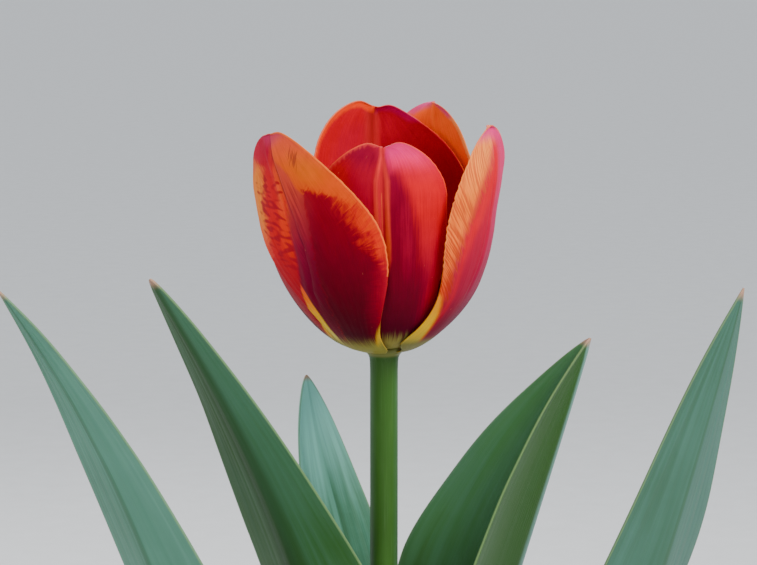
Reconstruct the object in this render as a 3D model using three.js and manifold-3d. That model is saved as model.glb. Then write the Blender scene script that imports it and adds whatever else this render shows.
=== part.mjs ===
// A tulip in bloom, growing in a plain terracotta pot.
// Millimetres, +Z up. The origin is the centre of the pot's underside, on the surface it stands on.
// Azimuths are in degrees: 0 faces -Y (the front), 90 faces +X (the right).

import * as THREE from "three";
import { mergeVertices } from "three/addons/utils/BufferGeometryUtils.js";
import Module from "manifold-3d";

const wasm = await Module();
wasm.setup();

// ---- driving dimensions ----

const GAP = 0.3; // left between two pieces that touch

const POT = {
  height: 115,
  footRadius: 44,
  wallTop: 57.5, // outer radius just under the rim
  rimHeight: 24,
  rimFoot: 62,
  rimRadius: 65,
  wall: 6,
  floor: 9,
  edge: 2, // rounding of the lip
  drainRadius: 7,
  sides: 36,
};

// The soil heaps up a little towards the stem: [share of the pot's inner radius, height].
// Around the bulb it leaves a touch more than the gap, because both are faceted.
const SOIL = { surface: [[0.8, 101.8], [0.45, 103.1]], edgeZ: 101, crownZ: 103.5, bulbGap: 0.75 };

const BULB = {
  bottom: 22,
  height: 42,
  radius: 19,
  neckRadius: 4.4,
  // [share of the height, share of the radius] from the basal plate to the neck
  swell: [[0, 0.32], [0.06, 0.62], [0.2, 0.92], [0.36, 1], [0.52, 0.92], [0.7, 0.66], [0.85, 0.36]],
  sides: 20,
};

// The stem is thicker at its foot and reaches its own radius by the height given.
const STEM = { radius: 3.65, footRadius: 4.2, footEnd: 100, slimFrom: 200, top: 293, sides: 16 };

// The receptacle: a slight swelling, a shoulder just under the petals and a neck that they stand round.
const NECK = { radius: 2.3, height: 2.0, shoulderDrop: 0.9, swelling: 0.25, swellingDrop: 2.1, taper: 5 };

const BLOOM_Z = STEM.top; // every height in the bloom is measured from here

const BLADE = { petal: 0.8, leafMiddle: 1.3, leafMargin: 0.8 };

// The two whorls start at slightly different heights on the receptacle.
const WHORLS = {
  outer: { footRadius: 3.3, footZ: -0.2, claw: 31 },
  inner: { footRadius: 2.75, footZ: 1.0, claw: 40 },
};

// The midrib line shared by all petals, as shares of each petal's own belly and wall: how far out the
// bowl runs level, where it turns up, and how long the wall keeps the bowl's outward flare.
const CUP = { level: 0.475, turn: 0.935, turnZ: 0.44, wallHandle: 0.35, flare: 0.116 };

// Each petal stands on a cup-shaped midrib line: a bowl out to the belly, then a wall up to the tip.
// azimuth: at the foot and at the tip. left/right: half widths. peak: how far up it is widest.
// squareLeft/squareRight: roundness of the shoulders. point: given for a tip more pointed than they make.
// foot: the claw's width as a share of the half width, and waist: how late it widens, both [left, right].
// twist: one margin in, the other out. cup: both margins out (or in, when negative).
const PETALS = [
  {
    name: "petal_front_left", whorl: "outer", azimuth: [-26.8, -54.4], leanEnd: 0.98,
    belly: 32.2, bellyZ: 34, tip: 35.2, tipZ: 59.7, curl: 0.01,
    left: 19.8, right: 23.9, peak: 0.69, squareLeft: 1.25, squareRight: 1.8,
    waist: [4, 3.6], foot: [0.32, 0.26], notch: 0.02, twist: 0, cup: 0.5, color: "#8e1416",
  },
  {
    name: "petal_front", whorl: "inner", azimuth: [2, -0.4], leanEnd: 0.9,
    belly: 27, bellyZ: 33, tip: 26.8, tipZ: 57.4, curl: 0.05,
    left: 19, right: 17.7, peak: 0.78, squareLeft: 1.6, squareRight: 1.8,
    waist: [2.3, 2.2], foot: [0.41, 0.66], notch: 0.03, twist: 0, cup: -1, color: "#c01a2b",
  },
  {
    name: "petal_right", whorl: "outer", azimuth: [66.5, 70.7], leanEnd: 0.9,
    belly: 28.2, bellyZ: 34, tip: 27.8, tipZ: 59.4, curl: 0.147,
    left: 18.4, right: 17.4, peak: 0.65, squareLeft: 2.66, squareRight: 1.46, point: 0.573,
    waist: [5.4, 3.4], foot: [0.62, 0.24], notch: 0, twist: 0, cup: 1.3, color: "#c9533f",
  },
  {
    name: "petal_back_right", whorl: "outer", azimuth: [135, 151], leanEnd: 0.9,
    belly: 28.8, bellyZ: 34, tip: 27.4, tipZ: 62.8, curl: 0.05,
    left: 18, right: 18, peak: 0.58, squareLeft: 1.8, squareRight: 2.05,
    waist: [2.6, 2.6], foot: [0.28, 0.28], notch: 0, twist: 2, cup: 0, color: "#c8431f",
  },
  {
    name: "petal_back", whorl: "inner", azimuth: [182, 185], leanEnd: 0.9,
    belly: 28.0, bellyZ: 34, tip: 26, tipZ: 63.8, curl: 0.05,
    left: 30, right: 18.3, peak: 0.74, squareLeft: 1.2, squareRight: 2.05,
    waist: [2.2, 2.2], foot: [0.36, 0.36], notch: 0.031, twist: 1, cup: -1, color: "#b8202a",
  },
  {
    name: "petal_back_left", whorl: "outer", azimuth: [-102, -110], leanEnd: 0.9,
    belly: 31, bellyZ: 33, tip: 29.5, tipZ: 53.5, curl: 0.05,
    left: 21, right: 26, peak: 0.62, squareLeft: 2, squareRight: 2,
    waist: [2.2, 2.2], foot: [0.3, 0.3], notch: 0.01, twist: -0.8, cup: -1.2, color: "#a8241c",
  },
];

// Each leaf clasps the stem, rises along a curved keel and ends in a point.
// lean: the keel's angle from upright at the foot and at the tip. fold: how far each half turns up
// about the keel, at the foot and at the tip. roll: the whole section turned about the keel.
// blunt: how long the blade keeps its width. point: 1 for a sharp tip, less for a rounder one.
const LEAVES = [
  {
    name: "leaf_front_left", azimuth: [-49, -58], footZ: 128, tip: 68.4, tipZ: 316.7, lean: [4.3, 32.7],
    width: 20.6, peak: 0.52, blunt: 1.06, point: 0.68, fold: [60, 13], roll: [17.4, 8.7], color: "#4d7a45",
  },
  {
    name: "leaf_right", azimuth: [114, 103.8], footZ: 118, tip: 56.5, tipZ: 294, lean: [14.7, 16.7],
    width: 34, peak: 0.61, blunt: 1.65, point: 0.88, fold: [70, 60.6], roll: [0.5, -1.7], color: "#4f7d52",
  },
  {
    name: "leaf_back", azimuth: [-178, -150.5], footZ: 138, tip: 43.2, tipZ: 279.9, lean: [3.3, 15.8],
    width: 11.5, peak: 0.44, blunt: 2.56, point: 0.73, fold: [60, 14], roll: [0, 0], color: "#7fa896",
  },
  {
    name: "leaf_far_left", azimuth: [-62, -59.1], footZ: 108, tip: 108.4, tipZ: 316.7, lean: [35.4, 37.5],
    width: 19, peak: 0.49, blunt: 1.7, point: 1, fold: [60, 12], roll: [12, 18.6], color: "#6d9684",
  },
  {
    name: "leaf_far_right", azimuth: [74, 87.3], footZ: 106, tip: 93.1, tipZ: 310, lean: [39.7, 14.5],
    width: 22.5, peak: 0.51, blunt: 2.15, point: 1, fold: [60, 14], roll: [-14.9, -39.8], color: "#5f8c7a",
  },
];

const LEAF_BEND = 0.36; // how much of the keel's length keeps the lean of each end

// The leaf's sheath: its width as a share of the leaf's, how late it widens, how far it may wrap round
// the stem (degrees each way), and how far up the leaf it still clasps.
const LEAF_FOOT = { share: 0.33, waist: 2, maxWrap: 68, clasp: 0.24 };

// [height, radius, how deeply it is lobed] from the receptacle to the top of the stigma
const PISTIL = {
  rings: [
    [2.3, 2.4, 0], [5.3, 3.1, 0.06], [12.75, 3.1, 0.1], [19.3, 2.55, 0.1],
    [21.3, 3.25, 0.3], [23.3, 5.4, 0.42], [25.3, 4.3, 0.45],
  ],
  lobes: 3,
  sides: 18,
};

const STAMENS = {
  count: 6,
  turn: 30, // azimuth of the first one
  ring: { inner: 3.05, outer: 4.3, bottom: 2.15, top: 3.35, sides: 24 },
  // [height, distance from the axis, radius] up the filament and its anther
  stations: [[2.45, 3.6, 0.6], [5, 4.3, 1.1], [11, 6.2, 0.7], [12, 6.5, 1.5], [20, 8.6, 1.5], [23, 9, 0.6]],
  sides: 7,
};

// ---- small helpers ----

const radians = THREE.MathUtils.degToRad;
const clamp = THREE.MathUtils.clamp;
const lerp = THREE.MathUtils.lerp;

function smooth(from, to, x) {
  const t = clamp((x - from) / (to - from), 0, 1);
  return t * t * (3 - 2 * t);
}

function polar(radius, azimuth, z) {
  return new THREE.Vector3(radius * Math.sin(azimuth), -radius * Math.cos(azimuth), z);
}

function bareGeometry(positions, index) {
  const geometry = new THREE.BufferGeometry();
  geometry.setAttribute("position", new THREE.Float32BufferAttribute(positions, 3));
  geometry.setIndex(index);
  return geometry;
}

function piece(name, geometry, color, roughness = 0.6) {
  const material = new THREE.MeshStandardMaterial({ color, roughness, metalness: 0 });
  material.name = name;
  const mesh = new THREE.Mesh(geometry, material);
  mesh.name = name;
  return mesh;
}

// A round piece from its outline, given as [radius, z] points up the outside and back to the start.
function turned(outline, sides) {
  const points = outline.map(([radius, z]) => new THREE.Vector2(radius, z));
  const geometry = new THREE.LatheGeometry(points, sides);
  geometry.rotateX(Math.PI / 2);
  return geometry;
}

// Rows of a blade, from foot to tip, and columns across it.
const GRID = { petal: [18, 10], leaf: [20, 8], crowding: 1.6, lastRow: 0.9995 };

// A closed blade of the given thickness about a middle surface. at(t, u) gives the middle surface,
// with t from foot to tip and u from -1 to 1 across; rows crowd towards the tip.
function blade(at, thickness, [rows, columns]) {
  const tOf = (i) => GRID.lastRow * (1 - (1 - i / rows) ** GRID.crowding);
  const uOf = (j) => (2 * j) / columns - 1;
  const middle = [];
  for (let i = 0; i <= rows; i++) {
    middle.push(Array.from({ length: columns + 1 }, (_, j) => at(tOf(i), uOf(j))));
  }
  const normalAt = (i, j) => {
    const row = Math.min(i, rows - 1);
    const across = middle[row][Math.min(j + 1, columns)].clone().sub(middle[row][Math.max(j - 1, 0)]);
    const along = middle[Math.min(i + 1, rows)][j].clone().sub(middle[Math.max(i - 1, 0)][j]);
    return across.cross(along).normalize();
  };
  const positions = [];
  for (const side of [1, -1]) {
    for (let i = 0; i <= rows; i++) {
      for (let j = 0; j <= columns; j++) {
        const shift = normalAt(i, j).multiplyScalar((side * thickness(tOf(i), uOf(j))) / 2);
        positions.push(...middle[i][j].clone().add(shift).toArray());
      }
    }
  }
  const outer = (i, j) => i * (columns + 1) + j;
  const inner = (i, j) => (rows + 1) * (columns + 1) + outer(i, j);
  const index = [];
  const quad = (a, b, c, d) => index.push(a, b, c, a, c, d);
  for (let i = 0; i < rows; i++) {
    for (let j = 0; j < columns; j++) {
      quad(outer(i, j), outer(i, j + 1), outer(i + 1, j + 1), outer(i + 1, j));
      quad(inner(i, j), inner(i + 1, j), inner(i + 1, j + 1), inner(i, j + 1));
    }
    quad(outer(i, 0), outer(i + 1, 0), inner(i + 1, 0), inner(i, 0));
    quad(outer(i, columns), inner(i, columns), inner(i + 1, columns), outer(i + 1, columns));
  }
  for (let j = 0; j < columns; j++) {
    quad(outer(0, j), inner(0, j), inner(0, j + 1), outer(0, j + 1));
    quad(outer(rows, j), outer(rows, j + 1), inner(rows, j + 1), inner(rows, j));
  }
  return bareGeometry(positions, index);
}

// The share of the full half width at t: it rises from the foot to the peak, and then closes in the
// rounded arch of a petal or the long point of a leaf.
function rise(t, foot, peak, waist) {
  return foot + (1 - foot) * Math.sin((Math.PI / 2) * Math.min(t / peak, 1)) ** waist;
}

function petalShare(t, { foot, peak, waist, point }, side, square) {
  const past = Math.max(t - peak, 0) / (1 - peak);
  return rise(t, foot[side], peak, waist[side]) * (1 - past ** square) ** (point ?? 1 / square);
}

function leafShare(t, { peak, blunt, point }) {
  const past = Math.max(t - peak, 0) / (1 - peak);
  return rise(t, LEAF_FOOT.share, peak, LEAF_FOOT.waist) * (1 - past ** blunt) ** point;
}

// ---- the bloom ----

function midrib(petal) {
  const { footRadius, footZ } = WHORLS[petal.whorl];
  const { belly, bellyZ, tip, tipZ, curl } = petal;
  const point = (radius, z) => new THREE.Vector2(radius, z);
  const wall = tipZ - bellyZ;
  const handle = CUP.wallHandle * wall;
  const flare = (CUP.flare * belly) / bellyZ;
  const path = new THREE.CurvePath();
  path.add(new THREE.CubicBezierCurve(
    point(footRadius, footZ), point(CUP.level * belly, footZ),
    point(CUP.turn * belly, CUP.turnZ * bellyZ), point(belly, bellyZ)));
  path.add(new THREE.CubicBezierCurve(
    point(belly, bellyZ), point(belly + flare * handle, bellyZ + handle),
    point(tip + curl * wall, tipZ - handle), point(tip, tipZ)));
  return path;
}

function petalMesh(petal) {
  const path = midrib(petal);
  const claw = radians(WHORLS[petal.whorl].claw);
  const at = (t, u) => {
    const half = u < 0
      ? petal.left * petalShare(t, petal, 0, petal.squareLeft)
      : petal.right * petalShare(t, petal, 1, petal.squareRight);
    const dip = petal.notch * Math.exp(-((u * half / 3) ** 2)) * smooth(0.8, 1, t);
    const rib = path.getPoint(t - dip);
    const centre = radians(lerp(...petal.azimuth, smooth(0.25, petal.leanEnd, t)));
    // near the foot the claw may not wrap further than its share of the receptacle
    const wrap = half / Math.max(rib.x, 3);
    const limit = lerp(claw, 2, smooth(0.04, 0.3, t));
    const angle = wrap / (1 + (wrap / limit) ** 4) ** 0.25;
    const bend = smooth(0.1, 0.4, t) * (petal.twist * u + petal.cup * u * u);
    return polar(rib.x + bend, centre + u * angle, BLOOM_Z + rib.y);
  };
  return piece(petal.name, blade(at, () => BLADE.petal, GRID.petal), petal.color, 0.45);
}

// Three rounded sides below, three lobes above.
function pistilGeometry() {
  const { rings, lobes, sides } = PISTIL;
  const ringAt = ([z, size, depth]) => (angle) =>
    polar(size * (1 - depth + depth * Math.cos(lobes * angle)), angle, BLOOM_Z + z);
  return stacked(rings.map(ringAt), sides);
}

// A closed piece through a stack of rings; each ring gives the point at an angle.
function stacked(rings, sides) {
  const positions = [];
  for (const ring of rings) {
    for (let k = 0; k < sides; k++) positions.push(...ring((2 * Math.PI * k) / sides).toArray());
  }
  const centres = [rings[0], rings.at(-1)].map((ring) => {
    const sum = new THREE.Vector3();
    for (let k = 0; k < sides; k++) sum.add(ring((2 * Math.PI * k) / sides));
    return sum.divideScalar(sides);
  });
  for (const centre of centres) positions.push(...centre.toArray());
  const last = (rings.length - 1) * sides;
  const bottom = rings.length * sides;
  const index = [];
  for (let k = 0; k < sides; k++) {
    const next = (k + 1) % sides;
    for (let r = 0; r < rings.length - 1; r++) {
      const a = r * sides;
      index.push(a + k, a + next, a + sides + next, a + k, a + sides + next, a + sides + k);
    }
    index.push(bottom, next, k, bottom + 1, last + k, last + next);
  }
  return bareGeometry(positions, index);
}

function solidOf(geometry) {
  const bare = geometry.clone();
  bare.deleteAttribute("normal");
  bare.deleteAttribute("uv");
  const merged = mergeVertices(bare, 1e-4);
  return new wasm.Manifold(new wasm.Mesh({
    numProp: 3,
    vertProperties: merged.attributes.position.array,
    triVerts: new Uint32Array(merged.index.array),
  }));
}

function geometryOf(solid) {
  const mesh = solid.getMesh();
  return bareGeometry(Array.from(mesh.vertProperties), Array.from(mesh.triVerts));
}

function stamensGeometry() {
  const { count, turn, ring, stations, sides } = STAMENS;
  const low = BLOOM_Z + ring.bottom;
  const high = BLOOM_Z + ring.top;
  const outline = [[ring.inner, low], [ring.outer, low], [ring.outer, high], [ring.inner, high]];
  let solid = solidOf(turned([...outline, outline[0]], ring.sides));
  for (let n = 0; n < count; n++) {
    const azimuth = radians(turn + (360 * n) / count);
    const ringAt = ([z, reach, radius]) => (angle) =>
      polar(reach, azimuth, BLOOM_Z + z).add(polar(radius, angle, 0));
    solid = solid.add(solidOf(stacked(stations.map(ringAt), sides)));
  }
  return geometryOf(solid);
}

// ---- stem and leaves ----

function stemRadius(z) {
  return lerp(STEM.footRadius, STEM.radius, smooth(STEM.footEnd, STEM.slimFrom, z));
}

function stemGeometry() {
  const foot = BULB.bottom + BULB.height + GAP;
  const neckTop = BLOOM_Z + NECK.height;
  const shoulder = BLOOM_Z - NECK.shoulderDrop;
  const outline = [[0, foot], [stemRadius(foot), foot]];
  for (let z = STEM.footEnd; z <= STEM.slimFrom; z += 25) outline.push([stemRadius(z), z]);
  outline.push([STEM.radius, BLOOM_Z - NECK.taper]);
  outline.push([STEM.radius + NECK.swelling, BLOOM_Z - NECK.swellingDrop]);
  outline.push([STEM.radius, shoulder], [NECK.radius, shoulder], [NECK.radius, neckTop], [0, neckTop]);
  return turned(outline, STEM.sides);
}

// How far the section has risen from the keel, 0 there and 1 at the margin: a V with a soft bottom.
function crease(u) {
  const soft = 0.12;
  return (Math.hypot(u, soft) - soft) / (Math.hypot(1, soft) - soft);
}

function leafMesh(leaf) {
  const footRadius = STEM.footRadius + GAP + BLADE.leafMiddle / 2;
  const [leanFoot, leanTip] = leaf.lean.map(radians);
  const foot = new THREE.Vector2(footRadius, leaf.footZ);
  const tip = new THREE.Vector2(leaf.tip, leaf.tipZ);
  const handle = (lean) => new THREE.Vector2(Math.sin(lean), Math.cos(lean))
    .multiplyScalar(LEAF_BEND * foot.distanceTo(tip));
  const keel = new THREE.CubicBezierCurve(
    foot, foot.clone().add(handle(leanFoot)), tip.clone().sub(handle(leanTip)), tip);
  const azimuthAt = (t) => radians(lerp(...leaf.azimuth, smooth(0, 1, t)));
  const spine = (t) => {
    const { x, y } = keel.getPoint(t);
    return polar(x, azimuthAt(t), y);
  };
  const at = (t, u) => {
    const half = leaf.width * leafShare(t, leaf);
    const azimuth = azimuthAt(t);
    const along = spine(Math.min(t + 0.01, 1)).sub(spine(Math.max(t - 0.01, 0))).normalize();
    const outward = polar(1, azimuth, 0);
    const across = new THREE.Vector3().crossVectors(along, outward).normalize();
    const inward = new THREE.Vector3().crossVectors(along, across).normalize();
    const roll = radians(lerp(...leaf.roll, t));
    const fold = radians(lerp(...leaf.fold, smooth(0, 0.8, t))) * (1 - 0.3 * Math.abs(u));
    const side = across.clone().multiplyScalar(Math.cos(roll)).addScaledVector(inward, Math.sin(roll));
    const up = inward.clone().multiplyScalar(Math.cos(roll)).addScaledVector(across, -Math.sin(roll));
    const channel = spine(t)
      .addScaledVector(side, u * half * Math.cos(fold))
      .addScaledVector(up, crease(u) * half * Math.sin(fold));
    const { x, y } = keel.getPoint(t);
    const wrap = Math.min(half / x, radians(LEAF_FOOT.maxWrap));
    const sheath = polar(x, azimuth + u * wrap, y);
    return sheath.lerp(channel, smooth(0, LEAF_FOOT.clasp, t));
  };
  const thickness = (t, u) => lerp(BLADE.leafMiddle, BLADE.leafMargin, Math.abs(u)) * (1 - 0.25 * t);
  return piece(leaf.name, blade(at, thickness, GRID.leaf), leaf.color, 0.5);
}

// ---- pot, soil and bulb ----

function innerRadius(z) {
  const share = z / (POT.height - POT.rimHeight);
  return lerp(POT.footRadius, POT.wallTop, share) - POT.wall;
}

function potGeometry() {
  const { height, footRadius, wallTop, rimHeight, rimFoot, rimRadius, floor, edge, drainRadius } = POT;
  const rimZ = height - rimHeight;
  const mouth = innerRadius(height);
  return turned([
    [drainRadius, 0], [footRadius - edge, 0], [footRadius, edge], [wallTop, rimZ], [rimFoot, rimZ + 1],
    [rimRadius, height - edge], [rimRadius - edge, height], [mouth + edge, height],
    [mouth, height - edge], [innerRadius(floor), floor], [drainRadius, floor], [drainRadius, 0],
  ], POT.sides);
}

function bulbOutline(offset) {
  const { bottom, height, radius, neckRadius, swell } = BULB;
  const points = [];
  for (const [share, width] of swell) points.push([radius * width + offset, bottom + share * height]);
  points.push([neckRadius + offset, bottom + height]);
  return points;
}

function bulbGeometry() {
  const { bottom, height } = BULB;
  return turned([[0, bottom], ...bulbOutline(0), [0, bottom + height]], BULB.sides);
}

function soilGeometry() {
  const { surface, edgeZ, crownZ, bulbGap } = SOIL;
  const low = POT.floor + GAP;
  const mouth = innerRadius(edgeZ);
  const hole = STEM.footRadius + GAP + 0.1;
  const cavity = bulbOutline(bulbGap);
  cavity[0][1] = BULB.bottom - GAP;
  const outline = [[0, low], [innerRadius(low) - GAP, low], [mouth - GAP, edgeZ]];
  for (const [share, z] of surface) outline.push([share * mouth, z]);
  outline.push([hole, crownZ], [hole, BULB.bottom + BULB.height + 2]);
  outline.push(...cavity.reverse(), [0, BULB.bottom - GAP]);
  return turned(outline, POT.sides);
}

// ---- the whole plant ----

const plant = new THREE.Group();
plant.name = "potted_tulip";
plant.add(
  piece("pot", potGeometry(), "#b5714f", 0.9),
  piece("soil", soilGeometry(), "#3a2a20", 1),
  piece("bulb", bulbGeometry(), "#9a6a3c", 0.7),
  piece("stem", stemGeometry(), "#5c8a48", 0.5),
  ...LEAVES.map(leafMesh),
  ...PETALS.map(petalMesh),
  piece("pistil", pistilGeometry(), "#b9c07a", 0.5),
  piece("stamens", stamensGeometry(), "#2b1d33", 0.7),
);

export default plant;
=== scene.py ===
# %% [markdown]
# # A tulip growing in a terracotta pot
#
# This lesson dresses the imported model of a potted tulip. The solids already have the right sizes and
# places, so each step takes one piece of the plant, makes it finer where it stands, and gives it its
# finish. Lengths in the plant are written in millimetres, and MM turns them into Blender's metres.
# Azimuths are in degrees: 0 faces -Y, the front, and 90 faces +X, the right.

import math
import random

import bpy
import numpy as np
from mathutils import Matrix, Vector, kdtree, noise


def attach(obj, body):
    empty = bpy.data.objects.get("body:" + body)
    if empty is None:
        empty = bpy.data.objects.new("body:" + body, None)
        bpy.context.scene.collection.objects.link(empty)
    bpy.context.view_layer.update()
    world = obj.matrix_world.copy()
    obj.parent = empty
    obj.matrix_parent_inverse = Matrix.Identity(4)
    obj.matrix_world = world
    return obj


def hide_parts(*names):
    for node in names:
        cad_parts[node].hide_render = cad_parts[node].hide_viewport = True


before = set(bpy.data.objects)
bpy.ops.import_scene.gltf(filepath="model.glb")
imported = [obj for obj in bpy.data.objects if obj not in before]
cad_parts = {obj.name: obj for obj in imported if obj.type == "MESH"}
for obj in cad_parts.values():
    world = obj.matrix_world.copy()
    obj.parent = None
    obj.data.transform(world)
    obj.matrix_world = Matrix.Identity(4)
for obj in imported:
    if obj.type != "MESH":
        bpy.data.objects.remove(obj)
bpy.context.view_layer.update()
MM = 0.001
print("CAD nodes:", ", ".join(sorted(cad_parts)))

# %% [markdown]
# ## Helpers for making meshes
#
# An operator works on all that is selected, and the frame leaves its own nodes selected. So every
# piece starts by clearing the selection, and is then picked alone.

# %% Picking, turning and finishing a piece
def clear_selection():
    bpy.ops.object.select_all(action="DESELECT")


def pick(piece):
    clear_selection()
    piece.select_set(True)
    bpy.context.view_layer.objects.active = piece


def added(name):
    """Names the primitive that was just added, and puts its place into its mesh."""
    piece = bpy.context.active_object
    piece.name = piece.data.name = name
    bpy.ops.object.transform_apply(location=True, rotation=True, scale=True)
    return piece


def apply_modifiers(piece):
    pick(piece)
    for modifier in list(piece.modifiers):
        bpy.ops.object.modifier_apply(modifier=modifier.name)


def joined(name, pieces):
    clear_selection()
    for piece in pieces:
        piece.select_set(True)
    bpy.context.view_layer.objects.active = pieces[0]
    bpy.ops.object.join()
    pieces[0].name = pieces[0].data.name = name
    return pieces[0]


def settle(piece, slot, finish, *nodes):
    """The piece gets its material, rides on the plant's one body, and stands for its CAD nodes."""
    piece.data.materials.clear()
    piece.data.materials.append(finish.material)
    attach(piece, "root")
    if nodes:
        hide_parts(*nodes)
    triangles = sum(len(face.vertices) - 2 for face in piece.data.polygons)
    print(f"{piece.name}: {triangles} triangles, slot {slot}")


# %% [markdown]
# Round pieces are turned as on a potter's wheel. A circle is drawn at the first point of an outline,
# and then extruded and scaled, ring by ring, to each next point. Where the outline meets the axis the
# ring is merged to a point.

# %% Turning a round piece
def turned(name, outline, sides=96):
    clear_selection()
    outline = [(radius * MM, height * MM) for radius, height in outline]
    on_axis = outline[0][0] == 0
    radius, height = outline[1] if on_axis else outline[0]
    bpy.ops.mesh.primitive_circle_add(
        vertices=sides, radius=radius, location=(0, 0, height),
        fill_type="TRIFAN" if on_axis else "NOTHING")
    piece = added(name)
    if on_axis:
        centre = min(piece.data.vertices, key=lambda v: v.co.xy.length)
        centre.co.z = outline[0][1]
        for vertex in piece.data.vertices:
            vertex.select = vertex.index != centre.index
        for edge in piece.data.edges:
            edge.select = centre.index not in edge.vertices
        for face in piece.data.polygons:
            face.select = False
    bpy.ops.object.mode_set(mode="EDIT")
    bpy.ops.mesh.select_mode(type="EDGE")
    if not on_axis:
        bpy.ops.mesh.select_all(action="SELECT")
    for next_radius, next_height in outline[2 if on_axis else 1:]:
        bpy.ops.mesh.extrude_edges_move(
            TRANSFORM_OT_translate={"value": (0, 0, next_height - height)})
        if next_radius == 0:
            bpy.ops.mesh.merge(type="CENTER")
        else:
            scale = next_radius / radius
            bpy.ops.transform.resize(value=(scale, scale, 1), center_override=(0, 0, next_height))
        radius, height = next_radius, next_height
    bpy.ops.mesh.select_all(action="SELECT")
    bpy.ops.mesh.remove_doubles(threshold=1e-6)
    bpy.ops.mesh.normals_make_consistent(inside=False)
    bpy.ops.object.mode_set(mode="OBJECT")
    bpy.ops.object.shade_smooth_by_angle(angle=math.radians(40))
    return piece


# %% [markdown]
# ## Helpers for making finishes
#
# A shader is a sum of small steps, and it reads best as arithmetic. A Link wraps one output of a node,
# so that `1 - mask` adds the Math node by itself, and a Finish is one material with a method that
# adds any other node. What varies over a surface goes into colour, roughness or the bump; all that is
# the same everywhere is set on the shader's own sockets.

# %% Arithmetic on node sockets
class Link:
    """One output of a shader node."""

    def __init__(self, finish, socket):
        self.finish, self.socket = finish, socket

    def math(self, operation, first, second):
        return self.finish.node("Math", {"operation": operation}, {0: first, 1: second})

    def __abs__(self):
        return self.finish.node("Math", {"operation": "ABSOLUTE"}, {0: self})


# Each sign is given twice, because a Link may stand on either side of it.
for sign, operation in (("add", "ADD"), ("sub", "SUBTRACT"), ("mul", "MULTIPLY"), ("truediv", "DIVIDE")):
    setattr(Link, f"__{sign}__",
            lambda link, other, operation=operation: link.math(operation, link, other))
    setattr(Link, f"__r{sign}__",
            lambda link, other, operation=operation: link.math(operation, other, link))


class Finish:
    """One material. Keyword arguments set the shader's own sockets."""

    def __init__(self, name, **constants):
        self.material = bpy.data.materials.new(name)
        self.material.use_nodes = True
        self.tree = self.material.node_tree
        self.shader = self.tree.nodes["Principled BSDF"]
        for socket, value in constants.items():
            self.shader.inputs[socket.replace("_", " ")].default_value = value

    def node(self, kind, settings=None, inputs=None, output=0):
        node = self.tree.nodes.new("ShaderNode" + kind)
        for key, value in (settings or {}).items():
            if key == "stops":
                ramp = node.color_ramp.elements
                ramp.remove(ramp[1])
                ramp[0].position, ramp[0].color = value[0]
                for position, colour in value[1:]:
                    ramp.new(position).color = colour
            else:
                setattr(node, key, value)
        for key, value in (inputs or {}).items():
            self.feed(node.inputs[key], value)
        return Link(self, node.outputs[output])

    def feed(self, socket, value):
        if isinstance(value, Link):
            self.tree.links.new(value.socket, socket)
        else:
            socket.default_value = value

    def paint(self, **sockets):
        for socket, value in sockets.items():
            self.feed(self.shader.inputs[socket.replace("_", " ")], value)

    def field(self, name):
        return self.node("Attribute", {"attribute_name": name}, output="Fac")

    def place(self):
        return self.node("TexCoord", output="Object")

    def axis(self, name):
        """The place along the X, Y or Z axis, in metres."""
        return self.node("SeparateXYZ", inputs={0: self.place()}, output=name)

    def vector(self, x, y, z=0.0):
        return self.node("CombineXYZ", inputs={0: x, 1: y, 2: z})

    def stretched(self, vector, scale):
        return self.node("Mapping", inputs={"Vector": vector, "Scale": scale})

    def noise(self, vector, scale=1.0, detail=2.0, roughness=0.5):
        return self.node("TexNoise", inputs={
            "Vector": vector, "Scale": scale, "Detail": detail, "Roughness": roughness})

    def grain(self, scale, detail=2.0, roughness=0.5):
        """Noise that is alike in all directions."""
        return self.noise(self.place(), scale, detail, roughness)

    def drawn_out(self, scale, detail=2.0, roughness=0.5):
        """Noise with a scale of its own along each axis."""
        return self.noise(self.stretched(self.place(), scale), 1.0, detail, roughness)

    def step(self, low, high, value):
        return self.node("MapRange", {"interpolation_type": "SMOOTHSTEP"},
                         {"Value": value, "From Min": low, "From Max": high})

    def mix(self, mask, below, above):
        return self.node("Mix", {"data_type": "RGBA"}, {0: mask, 6: below, 7: above}, output=2)

    def bump(self, height, distance, strength=1.0):
        return self.node("Bump", inputs={
            "Height": height, "Distance": distance, "Strength": strength})


def srgb(red, green, blue):
    """A screen colour, 0 to 255, as the linear colour that a shader takes."""
    def linear(x):
        x /= 255
        return x / 12.92 if x <= 0.04045 else ((x + 0.055) / 1.055) ** 2.4
    return (linear(red), linear(green), linear(blue), 1.0)


# %% [markdown]
# ## The camera, the lights and the floor
#
# The camera stands three quarters of a metre away and looks down a little on the bloom, through a long
# lens. It comes first, because every choice of detail is judged through it. The light is a large soft
# window from the right and above, a weaker one from the left, and a pale sky all round.

# %% Camera, lights and floor
BLOOM_Z = 293.0
LOOK_DOWN = math.radians(8)
aim = Vector((-1.43, 0, 310.7)) * MM
distance = 0.75

camera = bpy.data.objects.new("camera", bpy.data.cameras.new("camera"))
bpy.context.scene.collection.objects.link(camera)
camera.location = aim + Vector((0, -math.cos(LOOK_DOWN), math.sin(LOOK_DOWN))) * distance
camera.rotation_mode = "QUATERNION"
camera.rotation_quaternion = (aim - camera.location).to_track_quat("-Z", "Y")
camera.data.sensor_width = 36
camera.data.lens = 137.2
camera.data.clip_start, camera.data.clip_end = 0.05, 50
bpy.context.scene.camera = camera


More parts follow.
